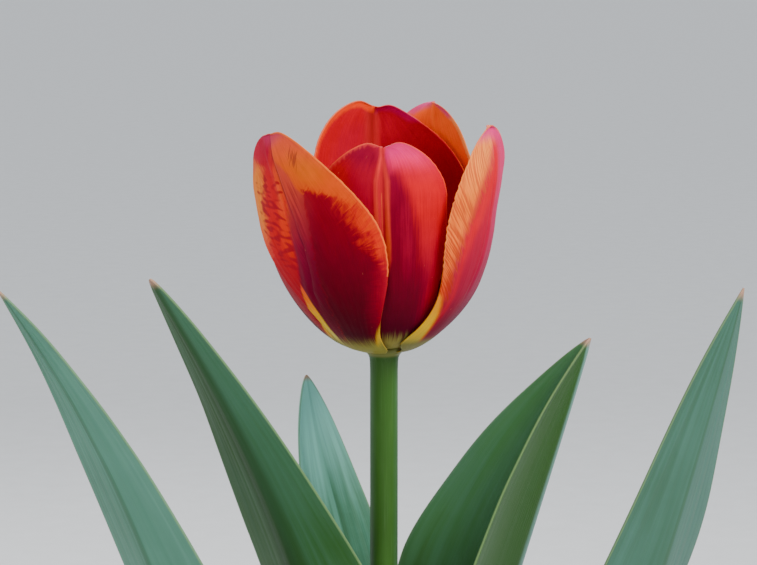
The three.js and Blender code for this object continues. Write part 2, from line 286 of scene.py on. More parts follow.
def soft_light(name, place, target, size, power, colour):
    lamp = bpy.data.lights.new(name, "AREA")
    lamp.shape, lamp.size, lamp.energy, lamp.color = "DISK", size, power, colour
    light = bpy.data.objects.new(name, lamp)
    bpy.context.scene.collection.objects.link(light)
    light.location = Vector(place)
    light.rotation_mode = "QUATERNION"
    light.rotation_quaternion = (Vector(target) - Vector(place)).to_track_quat("-Z", "Y")


soft_light("window", (0.75, -0.75, 1.25), (0, 0, 0.3), 0.7, 26, (1.0, 0.985, 0.96))
soft_light("fill", (-1.1, -0.7, 0.6), (0, 0, 0.28), 0.9, 3.0, (0.93, 0.96, 1.0))
soft_light("back", (-0.2, 1.0, 0.9), (0, 0, 0.3), 0.6, 6, (0.97, 0.98, 1.0))

world = bpy.context.scene.world or bpy.data.worlds.new("studio")
bpy.context.scene.world = world
world.use_nodes = True
world.node_tree.nodes["Background"].inputs["Color"].default_value = (0.78, 0.82, 0.88, 1)
world.node_tree.nodes["Background"].inputs["Strength"].default_value = 1.15

clear_selection()
bpy.ops.mesh.primitive_plane_add(size=24)
floor = added("floor")
floor_finish = Finish("floor_paper", Roughness=0.9)
grain = floor_finish.grain(60, detail=3)
floor_finish.paint(Base_Color=floor_finish.mix(grain, srgb(212, 212, 210), srgb(222, 222, 221)))
floor.data.materials.append(floor_finish.material)
print("camera at", [round(x, 3) for x in camera.location])


# %% [markdown]
# ## The shape of a petal
#
# A tulip's petals are thin shells that stand on the receptacle as the staves of a cup. Each has a
# narrow claw, a full belly and a rounded end. Extruding and scaling a box would give the belly but not
# the even, paper-thin edge, so a flat grid is added and each of its corners is set on the cup: one
# direction of the grid runs up the midrib line, the other follows an arc round the bloom's axis. The
# same few sizes as the solid's drive it, so the fine petal stands where the solid one does.

# %% Curves shared by petals and leaves
def smooth(start, end, x):
    t = np.clip((x - start) / (end - start), 0, 1)
    return t * t * (3 - 2 * t)


def blended(pair, share):
    return pair[0] + (pair[1] - pair[0]) * share


def polar(radius, azimuth, height):
    return np.stack([radius * np.sin(azimuth), -radius * np.cos(azimuth), height + 0 * radius], -1)


def bezier(points, t):
    a, b, c, d = (np.array(p, float) for p in points)
    t = np.asarray(t, float)[..., None]
    return a * (1 - t) ** 3 + 3 * b * t * (1 - t) ** 2 + 3 * c * t * t * (1 - t) + d * t ** 3


def rise(t, foot, peak, waist):
    return foot + (1 - foot) * np.sin(np.pi / 2 * np.minimum(t / peak, 1)) ** waist


def wobble(x, seed, wave):
    """Smooth seeded waves along x, from -1 to 1, wave long."""
    flat = np.ravel(x) / wave
    values = [noise.noise(Vector((v, seed * 7.31, seed * 1.7))) for v in flat]
    return np.clip(2 * np.reshape(values, np.shape(x)), -1, 1)


# %% The six petals, with the sizes of their solids
WHORLS = {
    "outer": {"foot_radius": 3.3, "foot_z": -0.2, "claw": 31},
    "inner": {"foot_radius": 2.75, "foot_z": 1.0, "claw": 40},
}
PETALS = {
    "petal_front_left": {
        "whorl": "outer", "azimuth": (-26.8, -54.4), "lean_end": 0.98, "belly": (32.2, 34),
        "tip": (35.2, 59.7), "curl": 0.01, "halves": (19.8, 23.9), "peak": 0.69,
        "square": (1.25, 1.8), "waist": (4, 3.6), "foot": (0.32, 0.26),
        "notch": 0.02, "twist": 0, "cup": 0.5},
    "petal_front": {
        "whorl": "inner", "azimuth": (2, -0.4), "lean_end": 0.9, "belly": (27, 33),
        "tip": (26.8, 57.4), "curl": 0.05, "halves": (19, 17.7), "peak": 0.78,
        "square": (1.6, 1.8), "waist": (2.3, 2.2), "foot": (0.41, 0.66),
        "notch": 0.03, "twist": 0, "cup": -1},
    "petal_right": {
        "whorl": "outer", "azimuth": (66.5, 70.7), "lean_end": 0.9, "belly": (28.2, 34),
        "tip": (27.8, 59.4), "curl": 0.147, "halves": (18.4, 17.4), "peak": 0.65,
        "square": (2.66, 1.46), "point": 0.573, "waist": (5.4, 3.4), "foot": (0.62, 0.24),
        "notch": 0, "twist": 0, "cup": 1.3, "ragged": 0.012},
    "petal_back_right": {
        "whorl": "outer", "azimuth": (135, 151), "lean_end": 0.9, "belly": (28.8, 34),
        "tip": (27.4, 62.8), "curl": 0.05, "halves": (18, 18), "peak": 0.58,
        "square": (1.8, 2.05), "waist": (2.6, 2.6), "foot": (0.28, 0.28),
        "notch": 0, "twist": 2, "cup": 0},
    "petal_back": {
        "whorl": "inner", "azimuth": (182, 185), "lean_end": 0.9, "belly": (28, 34),
        "tip": (26, 63.8), "curl": 0.05, "halves": (30, 18.3), "peak": 0.74,
        "square": (1.2, 2.05), "waist": (2.2, 2.2), "foot": (0.36, 0.36),
        "notch": 0.031, "twist": 1, "cup": -1},
    "petal_back_left": {
        "whorl": "outer", "azimuth": (-102, -110), "lean_end": 0.9, "belly": (31, 33),
        "tip": (29.5, 53.5), "curl": 0.05, "halves": (21, 26), "peak": 0.62,
        "square": (2, 2), "waist": (2.2, 2.2), "foot": (0.3, 0.3),
        "notch": 0.01, "twist": -0.8, "cup": -1.2},
}
CUP = {"level": 0.475, "turn": 0.935, "turn_z": 0.44, "handle": 0.35, "flare": 0.116}
PETAL_GRID = {"along": 200, "across": 64, "crowding": 1.6, "last": 0.9998}  # faces, and how they crowd
PETAL_THICKNESS, PETAL_MARGIN = 0.5, 0.5  # in mm, and the share of it left at the margin


def midrib(petal, t):
    """Radius and height of the midrib line at the share t of its length."""
    foot_radius, foot_z = (WHORLS[petal["whorl"]][key] for key in ("foot_radius", "foot_z"))
    belly, belly_z = petal["belly"]
    tip, tip_z = petal["tip"]
    wall = tip_z - belly_z
    handle = CUP["handle"] * wall
    flare = CUP["flare"] * belly / belly_z
    bowl = [(foot_radius, foot_z), (CUP["level"] * belly, foot_z),
            (CUP["turn"] * belly, CUP["turn_z"] * belly_z), (belly, belly_z)]
    upper = [(belly, belly_z), (belly + flare * handle, belly_z + handle),
             (tip + petal["curl"] * wall, tip_z - handle), (tip, tip_z)]
    even = np.linspace(0, 1, 300)
    line = np.concatenate([bezier(bowl, even), bezier(upper, even)[1:]])
    run = np.concatenate([[0], np.cumsum(np.linalg.norm(np.diff(line, axis=0), axis=1))])
    share = np.asarray(t) * run[-1]
    return np.interp(share, run, line[:, 0]), np.interp(share, run, line[:, 1]), run[-1]


def half_width(petal, t, u):
    keys = ("halves", "square", "foot", "waist")
    half, square, foot, waist = (np.where(u < 0, *petal[key]) for key in keys)
    past = np.maximum(t - petal["peak"], 0) / (1 - petal["peak"])
    rounded = (1 - past ** square) ** petal.get("point", 1 / square)
    return half * rise(t, foot, petal["peak"], waist) * rounded


# %% [markdown]
# A living petal isn't as even as that cup. The visible differences are small: a crease along the
# midrib with a soft ridge on either side, faint ribs that fan out from the claw, and a margin that
# waves and is nicked here and there. They are added as moves of a few tenths of a millimetre.

# %% Setting a grid on the petal's cup
CREASE = {"depth": 0.4, "width": 0.55, "ridge": 0.25, "ridge_at": 1.6, "ridge_width": 0.8}  # in mm
RIBS = {"height": 0.05, "pitch": 1.6}  # in mm
WAVES = {"height": 0.14, "length": 0.09}  # in mm, and as a share of the petal's length
NICKS = {"depth": 0.005, "length": 0.014}  # as shares of the petal's half width and length
KEELS = {1: ((0.3, -5.5), (0.43, -4.8), (0.5, -2.5), (0.56, -1.2), (0.61, 0), (0.7, 0.5), (0.84, 0.8),
             (0.92, 0)),
         2: ((0.3, -0.5), (1, -0.3))}  # how far beside the midrib line the crease runs


def stations(t, *pairs):
    """Straight steps between (share of the petal's length, value) pairs."""
    return np.interp(t, [p[0] for p in pairs], [p[1] for p in pairs])


def petal_points(petal, t, u, seed):
    half = half_width(petal, t, u)
    ragged = petal.get("ragged", NICKS["depth"]) * wobble(t + 9 * (u > 0), seed, NICKS["length"])
    ragged = ragged * smooth(0.35, 0.6, t) * smooth(0.8, 1, np.abs(u))
    half = half * (1 + ragged * (1 - smooth(0.93, 1, t)))
    dip = petal["notch"] * np.exp(-((u * half / 3) ** 2)) * smooth(0.8, 1, t)
    radius, height, length = midrib(petal, t - dip)
    centre = np.radians(blended(petal["azimuth"], smooth(0.25, petal["lean_end"], t)))
    wrap = half / np.maximum(radius, 3)
    claw = math.radians(WHORLS[petal["whorl"]]["claw"])
    limit = blended((claw, 2), smooth(0.04, 0.3, t))
    angle = wrap / (1 + (wrap / limit) ** 4) ** 0.25
    bend = smooth(0.1, 0.4, t) * (petal["twist"] * u + petal["cup"] * u * u)
    lane = u * np.where(u < 0, *petal["halves"])
    across = u * half
    beside = np.abs(across - stations(t, *KEELS.get(seed, ((0, 0), (1, 0)))))
    upper = smooth(0.3, 0.5, t) * (1 - smooth(0.96, 1, t))
    ridge = CREASE["ridge"] * np.exp(-(((beside - CREASE["ridge_at"]) / CREASE["ridge_width"]) ** 2))
    crease = upper * (ridge - CREASE["depth"] * np.exp(-((beside / CREASE["width"]) ** 2)))
    ribs = RIBS["height"] * wobble(lane, seed + 3, RIBS["pitch"]) * smooth(0.1, 0.3, t)
    waves = WAVES["height"] * wobble(t + 5 * (u > 0), seed + 5, WAVES["length"])
    waves = waves * smooth(0.6, 1, np.abs(u)) * smooth(0.3, 0.6, t)
    radius = radius + bend + crease + ribs + waves * (1 - smooth(0.95, 1, t))
    points = polar(radius, centre + u * angle, BLOOM_Z + height)
    return points, lane, across, length


def grid_piece(name, across, along, crowding, last):
    """A flat grid, and its corners' shares: t from foot to tip, u from -1 to 1 across."""
    clear_selection()
    bpy.ops.mesh.primitive_grid_add(x_subdivisions=across, y_subdivisions=along, size=2)
    piece = added(name)
    flat = np.array([v.co[:2] for v in piece.data.vertices])
    return piece, last * (1 - (1 - (flat[:, 1] + 1) / 2) ** crowding), flat[:, 0]


def move_points(piece, points):
    piece.data.vertices.foreach_set("co", (np.asarray(points) * MM).astype(np.float32).ravel())
    piece.data.update()


def write_field(piece, name, values):
    attribute = piece.data.attributes.new(name, "FLOAT", "POINT")
    attribute.data.foreach_set("value", np.asarray(values, np.float32))


def margin_fields(points, t, u):
    """For each point, its distance from the nearest margin, and that place's run along the margin."""
    left, right = np.where(u <= u.min() + 1e-6)[0], np.where(u >= u.max() - 1e-6)[0]
    samples, runs = [], []
    for side, sign in ((left, -1), (right, 1)):
        line = points[side[np.argsort(t[side])]]
        run = np.concatenate([[0], np.cumsum(np.linalg.norm(np.diff(line, axis=0), axis=1))])
        fine = np.arange(0, run[-1], 0.1)
        samples += list(np.stack([np.interp(fine, run, line[:, k]) for k in range(3)], -1))
        runs += list(sign * fine)
    tree = kdtree.KDTree(len(samples))
    for index, sample in enumerate(samples):
        tree.insert(sample, index)
    tree.balance()
    found = [tree.find(point) for point in points]
    return np.array([f[2] for f in found]), np.array([runs[f[1]] for f in found])


def thicken(piece, thickness, at_margin, edge):
    """Gives the sheet its thickness, thinner towards the margin, and marks its inner face."""
    group = piece.vertex_groups.new(name="body")
    for index, value in enumerate(at_margin + (1 - at_margin) * smooth(0, 4, edge)):
        group.add([index], float(value), "REPLACE")
    solidify = piece.modifiers.new("thickness", "SOLIDIFY")
    solidify.thickness, solidify.offset = thickness * MM, 0
    solidify.vertex_group = "body"
    solidify.use_rim = True
    sheet = len(piece.data.vertices)
    apply_modifiers(piece)
    inside = (np.arange(len(piece.data.vertices)) >= sheet).astype(np.float32)
    write_field(piece, "inside", inside)
    piece.vertex_groups.clear()
    bpy.ops.object.shade_smooth()


def petal_piece(name, seed):
    petal = PETALS[name]
    piece, t, u = grid_piece(name + "_blade", **PETAL_GRID)
    points, lane, across, length = petal_points(petal, t, u, seed)
    move_points(piece, points)
    edge, run = margin_fields(points, t, u)
    for field, values in {"along": t, "lane": lane, "edge": edge, "run": run, **common(t, across, edge),
                          **PAINT[name](t, across, edge)}.items():
        write_field(piece, field, values)
    thicken(piece, PETAL_THICKNESS, PETAL_MARGIN, edge)
    print(f"{name}: midrib {length:.1f} mm, widest {np.ptp(across):.1f} mm")
    return piece


# %% [markdown]
# ## Where each colour lies on a petal
#
# Garden tulips of this kind are flamed: a dark red centre feathers out into red, the margins are
# orange, and the claw is yellow and cream. The feathering is fine work for the shader, and what it
# needs is a smooth map of where each colour reigns. So every corner of the grid carries one field for
# each colour, in millimetres: above zero inside the colour's zone, zero on its border and below zero
# outside. A field is worked out from t (0 at the foot, 1 at the tip), from the distance across from
# the midrib, and from the distance to the edge. Names with in_ belong to the inner face.

# %% Colour zones, petal by petal
FAR_OUTSIDE = -9


def only(where, field):
    """The field where the condition holds, and far outside its zone elsewhere."""
    return np.where(where, field, FAR_OUTSIDE)


def common(t, across, edge):
    """Zones that all petals have on their outer and inner faces."""
    return {
        "rim": stations(t, (0.2, -2), (0.35, 0.5), (0.6, 4), (0.8, 6), (1, 10)) - edge,
        "blaze": np.minimum(edge - stations(t, (0.2, 1), (0.5, 4), (0.8, 8), (1, 14)), 10 - np.abs(across)),
        "claw": stations(t, (0.1, 3), (0.2, 1.5), (0.3, -0.5)) - edge,
        "cream": (0.2 - t) * 75,
        "in_rim": stations(t, (0.3, -1), (0.5, 0.8), (0.9, 1.6), (1, 2)) - edge,
        "in_heart": np.minimum(edge - 4, 9 - np.abs(across)),
        "in_claw": stations(t, (0.1, 9), (0.16, 2.5), (0.22, -0.5)) - edge,
        "in_blotch": np.minimum((0.1 - t) * 75, edge - 1),
    }


def front_left(t, across, edge):
    right = across > 0
    beside = across - stations(t, *KEELS[1])
    border = stations(t, (0.42, -9), (0.455, -7.7), (0.5, -6.2), (0.545, -4.5), (0.6, -3.3), (0.7, -1.1),
                      (0.765, 0.5), (0.84, 0.6), (0.92, 0))
    flank = stations(t, (0.2, -2.6), (0.3, -2.2), (0.37, -1.8), (0.46, -0.8), (0.55, 1.8), (0.66, 4.6),
                     (0.78, 7.8))
    brow = stations(t, (0.78, 7.8), (0.8, 6), (0.85, 4.6), (0.92, -0.3))
    rim = stations(t, (0.3, 0.2), (0.5, 0.4), (0.56, 2.4), (0.62, 4.8), (0.7, 5.6), (0.75, 5), (0.78, 5.6),
                   (0.8, 10), (0.82, 30))
    strip = stations(t, (0.2, -5.1), (0.27, -6.1), (0.325, -6.6), (0.37, -7), (0.42, -7.4), (0.465, -7.9),
                     (0.48, -12))
    strip_left = stations(t, (0.3, -30), (0.335, -10), (0.375, -9.4), (0.425, -8.9), (0.47, -7.4))
    return {
        "left_rim": only(~right, stations(t, (0.5, -3), (0.56, 1.5), (0.62, 4.5), (0.68, 6.5), (0.8, 7),
                                          (0.86, 4), (0.9, -2)) - edge),
        "flecks": only(~right, np.minimum(np.minimum(edge - 6.5, 11.8 - edge),
                                          stations(t, (0.46, -5), (0.53, -0.5), (0.79, -0.5), (0.86, -5)))),
        "stripe": np.minimum(border - across - 0.2,
                             stations(t, (0.5, -3), (0.58, 4.5), (0.62, 4.8), (0.7, 3.6), (0.76, 2.7),
                                      (0.81, 1.5), (0.93, 0)) - border + across),
        "glow": only(across > border, stations(t, (0.42, -2), (0.5, 0.4), (0.54, 3), (0.6, 8), (0.66, 30))
                     - edge),
        "golden": 3.8 - np.hypot((t - 0.875) * 75, 0.8 * (across - 11)),
        "strokes": 0.8 - np.hypot((t - 0.905) * 50, across - 8.6),
        "band": np.minimum(across - border, np.where(t < 0.78, flank + 1.2, brow) - across),
        "band_lines": np.minimum(across - border, flank - across) - 3.2
            + stations(t, (0.35, -3), (0.5, 0), (0.8, 0), (0.88, -3)),
        "blaze": np.minimum(np.where(right, (edge - rim) * stations(t, (0.5, 3), (0.6, 1)), 9),
                            4 * (across - flank)),
        "halo": np.minimum(np.where(right, (edge - 1.6) * 0.7, 9), 3 * (across - flank))
            + stations(t, (0.5, -6), (0.56, 0), (0.76, 0), (0.84, -8)),
        "seam": 1.4 - np.abs(across - flank) + stations(t, (0.24, -2), (0.3, 0), (0.76, 0), (0.82, -3)),
        "low_margin": only(right, stations(t, (0.2, 0.5), (0.35, 2.5), (0.52, 3), (0.6, -1)) - edge),
        # painted shade: the dark line that lies along the crease
        "crease": 0.3 - np.abs(beside) + stations(t, (0.54, -0.6), (0.62, 0), (0.97, 0)),
        "tip": (t - 0.955) * 60 - 0.3 * np.abs(across),
        "left_sheen": only(~right, stations(t, (0.8, -2), (0.86, 2.5), (0.98, 2.5)) - edge),
        "strip": np.minimum(strip - across, across - strip_left),
        "claw": only(right, stations(t, (0.12, 2.6), (0.2, 1.3), (0.27, 0.4), (0.32, -0.5)) - edge),
        "cream": (0.176 - t) * 75,
        "line": only(right & (t > 0.5), 0.35 - edge),
    }


def front(t, across, edge):
    beside = across - stations(t, *KEELS[2])
    right = beside > 0
    shore = stations(t, (0.3, 8), (0.5, 9.5), (0.67, 8.8), (0.785, 6.8), (0.91, 3.2), (0.98, 1))
    spread = stations(t, (0.6, 1), (0.85, 1), (0.97, 0.2))
    return {
        "coral": only(right, beside - shore),
        "inner_left": 3.5 - np.abs(beside + 5) + stations(t, (0.5, -3), (0.65, 0), (0.9, 0), (1, -2)),
        "top_left": only(~right, (t - 0.9) * 60 - 0.25 * np.abs(beside + 5)),
        "left_rim": only(~right, 0.8 - edge),
        "shade": only(right, shore - beside),
        # painted sheen: paler pinkish streaks along the dark band
        "streaks": 1.2 - np.abs(beside - 5.8) + stations(t, (0.35, -3), (0.5, 0), (0.74, 0), (0.8, -3)),
        # painted highlight: a pink pool of light at the top of the right half
        "pink": only(right, np.minimum(beside - shore + 1, (t - 0.9) * 65)),
        "midrib": 1.9 * spread - np.abs(beside + 0.1) + stations(t, (0.35, -3), (0.55, 0)),
        "lines": np.maximum(0.4 - np.abs(beside + 1.6 * spread), 0.5 - np.abs(beside - 1.2 * spread))
            + stations(t, (0.4, -1), (0.6, 0)),
        "hairline": 0.15 - np.abs(beside + 0.3) + stations(t, (0.4, -1), (0.5, 0), (0.8, 0), (0.85, -1)),
        "low": (0.5 - t) * 40,
        # painted light: the low right margin is painted brighter red against the shade it falls into beside
        # the right petal
        "right_low": only(right, 4 - edge + stations(t, (0.16, -4), (0.26, 0), (0.55, 0), (0.68, -3))),
        "claw": np.where(right, stations(t, (0.15, 2), (0.24, 0.8), (0.3, -0.5)),
                         stations(t, (0.1, 4), (0.2, 2.2), (0.3, 0.6), (0.34, -0.5))) - edge,
        "cream": (0.172 - t) * 75,
        "line": only(t > 0.45, 0.3 - edge),
    }


def right_petal(t, across, edge):
    shore = stations(t, (0.37, -10.5), (0.455, -12), (0.52, -12.6), (0.6, -12), (0.63, -10.8), (0.7, -8.2),
                     (0.775, -5.7), (0.865, -1.9), (0.94, 0.7))
    wedge = stations(t, (0.14, -5.6), (0.21, -7), (0.265, -8.2), (0.3, -9), (0.35, -10.8), (0.385, -12.4),
                     (0.41, -14.6), (0.43, -30))
    return {
        "tan": shore - across - stations(t, (0.6, 0.3), (0.7, 1.8), (0.8, 3), (0.9, 2.2), (0.95, 1)),
        "lines": np.minimum(shore - across, 0),
        "coral": 2.5 - np.abs(across - shore - 2.5)
            + stations(t, (0.5, -2), (0.65, 0), (0.9, 0), (0.95, -2)),
        "tip": (t - 0.955) * 70,
        # painted sheen: violet towards the right side, where the petal turns away at a low angle
        "violet": across - stations(t, (0.2, 0), (0.5, 1.5), (0.8, 3.5), (1, 3)),
        "patches": stations(t, (0.25, -2), (0.35, -0.6), (0.5, -0.6), (0.58, -2))
            - 0.1 * np.abs(across + 6),
        "wedge": wedge - across,
        "wedge_line": 0.5 - np.abs(across - wedge),
        "cream": (0.16 - t) * 75,
        "line": only(t > 0.5, 0.25 - edge),
    }


def back_right(t, across, edge):
    return {"in_rim": np.where(across < 0, 1.3, 0.6) - edge,
            "in_tip": np.minimum((t - 0.95) * 60, 1.6 - edge),
            "in_glow": (t - 0.78) * 60 + 3 - 0.3 * np.abs(across + 4)}


def back(t, across, edge):
    lobe = np.minimum(np.minimum(1.9 - edge, (t - 0.92) * 70), -0.5 - across)
    return {
        "in_rim": only(across > 0, stations(t, (0.3, 0), (0.85, 1.1), (0.95, 1.5), (1, 2.2)) - edge),
        "in_streak": 2 - np.abs(across - 0.6),
        # painted shade: the inner right lobe is darker red, as if in shadow
        "in_dark": -1.2 - across,
        "in_heart": np.minimum(edge - 3, 8 - np.abs(across - 8)) - 3,
        "in_lobe": lobe,
        "in_line": only(across > 0, 0.3 - edge),
    }


def back_left(t, across, edge):
    return {"rim": stations(t, (0.5, -3), (0.7, 2), (1, 8)) - edge,
            "claw": stations(t, (0.15, 2.5), (0.26, 1.2), (0.32, -0.5)) - edge}


PAINT = {
    "petal_front_left": front_left, "petal_front": front, "petal_right": right_petal,
    "petal_back_right": back_right, "petal_back": back, "petal_back_left": back_left,
}

# %% [markdown]
# ## The finish of a petal
#
# Streaky noises do the feathering. Combs and fine streaks are drawn from the margin inwards, veins run
# along the petal, and cross lines and dashes lie across it. A layer says how many millimetres each
# pattern moves its field before the field is cut to a mask, so that a smooth border becomes a comb or
# a row of flecks. The layers are mixed from the lowest to the topmost, as glazes are painted one over
# another. Petals are satin and let some light through.

# %% The layers of colour, from the lowest to the topmost
def layer(zone, shade, soft=0.8, strength=1.0, **ragged):
    """One colour, or stops of it along the petal. ragged: how many mm each pattern moves the border."""
    return zone, shade, soft, strength, ragged


OUTER = [
    layer("rim", (0.72, 0.06, 0.008), 1.2, combs=5),
    layer("blaze", [(0.3, (0.09, 0, 0.006)), (0.6, (0.2, 0, 0.012))], 1.5, combs=5, veins=2),
    layer("claw", (0.68, 0.3, 0.004), 0.5, veins=1.5),
    layer("cream", (0.24, 0.21, 0.05), 2, veins=4),
]
INNER = [
    layer("in_heart", (0.3, 0, 0.008), 3, veins=4, strength=0.6),
    layer("in_rim", (0.8, 0.1, 0.012), 0.8, combs=1),
    layer("in_claw", (0.72, 0.42, 0.02), 0.8, veins=2),
    layer("in_blotch", (0.03, 0.012, 0.03), 1.2, combs=3),
]
LAYERS = {
    "petal_front_left": [
        [(0.35, (0.36, 0, 0.012)), (0.5, (0.46, 0, 0.009)), (0.62, (0.62, 0.002, 0.004)),
         (0.83, (0.6, 0.004, 0.01)), (0.93, (0.44, 0.002, 0.03))],
        layer("left_rim", [(0.58, (0.8, 0.06, 0.02)), (0.68, (0.86, 0.2, 0.012)),
                           (0.83, (0.86, 0.2, 0.015))], 2.4, combs=5),
        layer("stripe", [(0.55, (0.68, 0.01, 0.003)), (0.68, (0.74, 0.03, 0.002)),
                         (0.8, (0.84, 0.075, 0.012))], 1.4,
              veins=3.5, combs=2),
        layer("flecks", (0.36, 0, 0.012), 2, dashes=17, strength=0.9),
        layer("glow", [(0.5, (0.54, 0.003, 0.004)), (0.62, (0.62, 0.028, 0.002)),
                       (0.75, (0.7, 0.06, 0.001)), (0.87, (0.74, 0.085, 0.002)),
                       (0.96, (0.8, 0.085, 0.03))], 0.9, veins=2, combs=2),
        layer("golden", (0.76, 0.14, 0.003), 3, veins=3, strength=0.55),
        layer("strokes", (0.2, 0.02, 0.02), 0.5, fine=8, strength=0.6),
        layer("band", [(0.35, (0.12, 0, 0.012)), (0.48, (0.17, 0.001, 0.022)), (0.6, (0.25, 0.005, 0.028)),
                       (0.7, (0.4, 0.022, 0.03)), (0.8, (0.56, 0.045, 0.024)), (0.9, (0.66, 0.06, 0.03))],
                       0.9, veins=2),
        layer("band_lines", (0.13, 0, 0.014), 1.2, veins=11, strength=0.4),
        layer("halo", (0.54, 0.006, 0.003), 2, combs=9, strength=0.7),
        layer("blaze", (0.46, 0, 0.008), 1.8, combs=15),
        layer("blaze", [(0.24, (0.06, 0, 0.007)), (0.4, (0.1, 0, 0.007)), (0.55, (0.155, 0, 0.008)),
                        (0.7, (0.22, 0, 0.009)), (0.8, (0.3, 0, 0.011))], 2.6, combs=9, veins=1),
        layer("seam", [(0.35, (0.07, 0.001, 0.008)), (0.6, (0.16, 0.002, 0.013)),
                       (0.75, (0.32, 0.008, 0.018))], 2.6, veins=1.5,
              strength=0.8),
        layer("low_margin", [(0.28, (0.22, 0, 0.012)), (0.42, (0.36, 0, 0.016))], 3.2, combs=3,
              strength=0.8),
        # painted shade: a dark line along the crease
        layer("crease", (0.13, 0.006, 0.03), 0.25, strength=0.6),
        layer("left_sheen", (0.55, 0.02, 0.05), 2, strength=0.5),
        layer("tip", (0.5, 0.03, 0.12), 1.5, veins=2, strength=0.6),
        layer("strip", [(0.22, (0.6, 0.46, 0.08)), (0.27, (0.72, 0.44, 0.01)), (0.33, (0.76, 0.32, 0.002)),
                        (0.38, (0.8, 0.17, 0.001)), (0.44, (0.78, 0.06, 0.01))], 0.3, veins=0.6),
        layer("claw", (0.62, 0.34, 0.01), 0.6, veins=1.5),
        layer("cream", (0.27, 0.235, 0.045), 3.2, veins=15),
        layer("line", (0.85, 0.16, 0.02), 0.15, strength=0.7),
    ],
    "petal_front": [
        [(0.3, (0.24, 0, 0.012)), (0.55, (0.38, 0, 0.01)), (0.7, (0.44, 0, 0.007)),
         (0.88, (0.44, 0, 0.008))],
        layer("inner_left", (0.34, 0, 0.024), 2.5, veins=3, strength=0.7),
        layer("top_left", (0.2, 0.002, 0.024), 2.5, veins=4, strength=0.7),
        layer("coral", [(0.45, (0.27, 0, 0.022)), (0.6, (0.4, 0, 0.012)), (0.72, (0.47, 0, 0.006)),
                        (0.83, (0.56, 0.001, 0.01)), (0.92, (0.6, 0, 0.03))], 2.2, veins=3),
        layer("shade", [(0.5, (0.15, 0, 0.008)), (0.75, (0.17, 0, 0.012)), (0.95, (0.26, 0, 0.024))], 2,
              veins=4),
        # painted sheen: paler pinkish streaks along the dark band
        layer("streaks", (0.31, 0, 0.022), 1.4, veins=7, strength=0.6),
        # painted highlight: pink where the window's light falls on the top of the right half
        layer("pink", [(0.86, (0.66, 0, 0.035)), (0.93, (0.76, 0, 0.1)), (0.98, (0.68, 0.006, 0.16))], 2.6,
              veins=2),
        layer("midrib", (0.42, 0.008, 0.016), 0.5, veins=0.8, strength=0.8),
        layer("lines", [(0.6, (0.52, 0.045, 0.006)), (0.95, (0.6, 0.02, 0.026))], 0.3, veins=0.4,
              strength=0.9),
        layer("hairline", (0.65, 0.08, 0.02), 0.12, strength=0.8),
        layer("low", [(0.2, (0.06, 0.001, 0.012)), (0.35, (0.1, 0, 0.009)), (0.5, (0.13, 0, 0.01))], 4,
              veins=5, strength=0.9),
        # painted light: brighter red on the low right margin, against the shade beside the right petal
        layer("right_low", [(0.25, (0.24, 0, 0.016)), (0.4, (0.42, 0, 0.016))], 2.4, veins=3,
              strength=0.75),
        layer("left_rim", (0.6, 0.03, 0.03), 0.5, combs=2.5, strength=0.7),
        layer("claw", (0.72, 0.46, 0.03), 0.6, veins=1.5),
        layer("cream", (0.26, 0.22, 0.05), 3.6, veins=15),
        layer("line", (0.8, 0.075, 0.02), 0.12, strength=0.7),
    ],
    "petal_right": [
        [(0.25, (0.17, 0.001, 0.022)), (0.4, (0.28, 0, 0.026)), (0.6, (0.38, 0, 0.026)),
         (0.8, (0.5, 0.001, 0.02)), (0.95, (0.6, 0.015, 0.07))],
        layer("coral", (0.58, 0.002, 0.01), 2.2, veins=3, strength=0.8),
        layer("patches", (0.26, 0, 0.02), 0.8, veins=6, strength=0.6),
        # painted sheen: violet where the petal turns away at a low angle
        layer("violet", [(0.25, (0.15, 0.016, 0.05)), (0.5, (0.32, 0.01, 0.06)), (0.8, (0.6, 0.016, 0.13))],
              3, veins=1.5, strength=0.75),
        layer("tan", [(0.4, (0.6, 0.05, 0.004)), (0.5, (0.72, 0.11, 0.012)), (0.62, (0.8, 0.15, 0.016)),
                      (0.74, (0.84, 0.17, 0.012)), (0.85, (0.96, 0.24, 0.03)), (0.95, (0.96, 0.28, 0.05))],
                      2.2, veins=2, cross=3),
        layer("lines", [(0.5, (0.34, 0.01, 0.002)), (0.9, (0.6, 0.075, 0.018))], 0.7, cross=6,
              strength=0.75),
        layer("tip", (0.68, 0.025, 0.17), 2, veins=2),
        layer("wedge", [(0.16, (0.44, 0.32, 0.04)), (0.25, (0.72, 0.4, 0.003)), (0.33, (0.7, 0.27, 0.002)),
                        (0.4, (0.76, 0.2, 0.002))], 0.3, veins=0.5),
        layer("wedge_line", (0.56, 0.1, 0.002), 0.7, strength=0.8),
        layer("cream", (0.18, 0.16, 0.04), 2, veins=2),
        layer("line", (0.95, 0.3, 0.08), 0.2, strength=0.4),
    ],
    "petal_back_right": [[(0.3, (0.4, 0, 0.02)), (0.8, (0.55, 0.004, 0.02))], *OUTER],
    "petal_back": [[(0.3, (0.35, 0, 0.016)), (0.8, (0.5, 0.002, 0.02))], *OUTER],
    "petal_back_left": [[(0.25, (0.32, 0.004, 0.008)), (0.4, (0.3, 0, 0.012)), (0.8, (0.5, 0.004, 0.014))],
                        *OUTER],
}
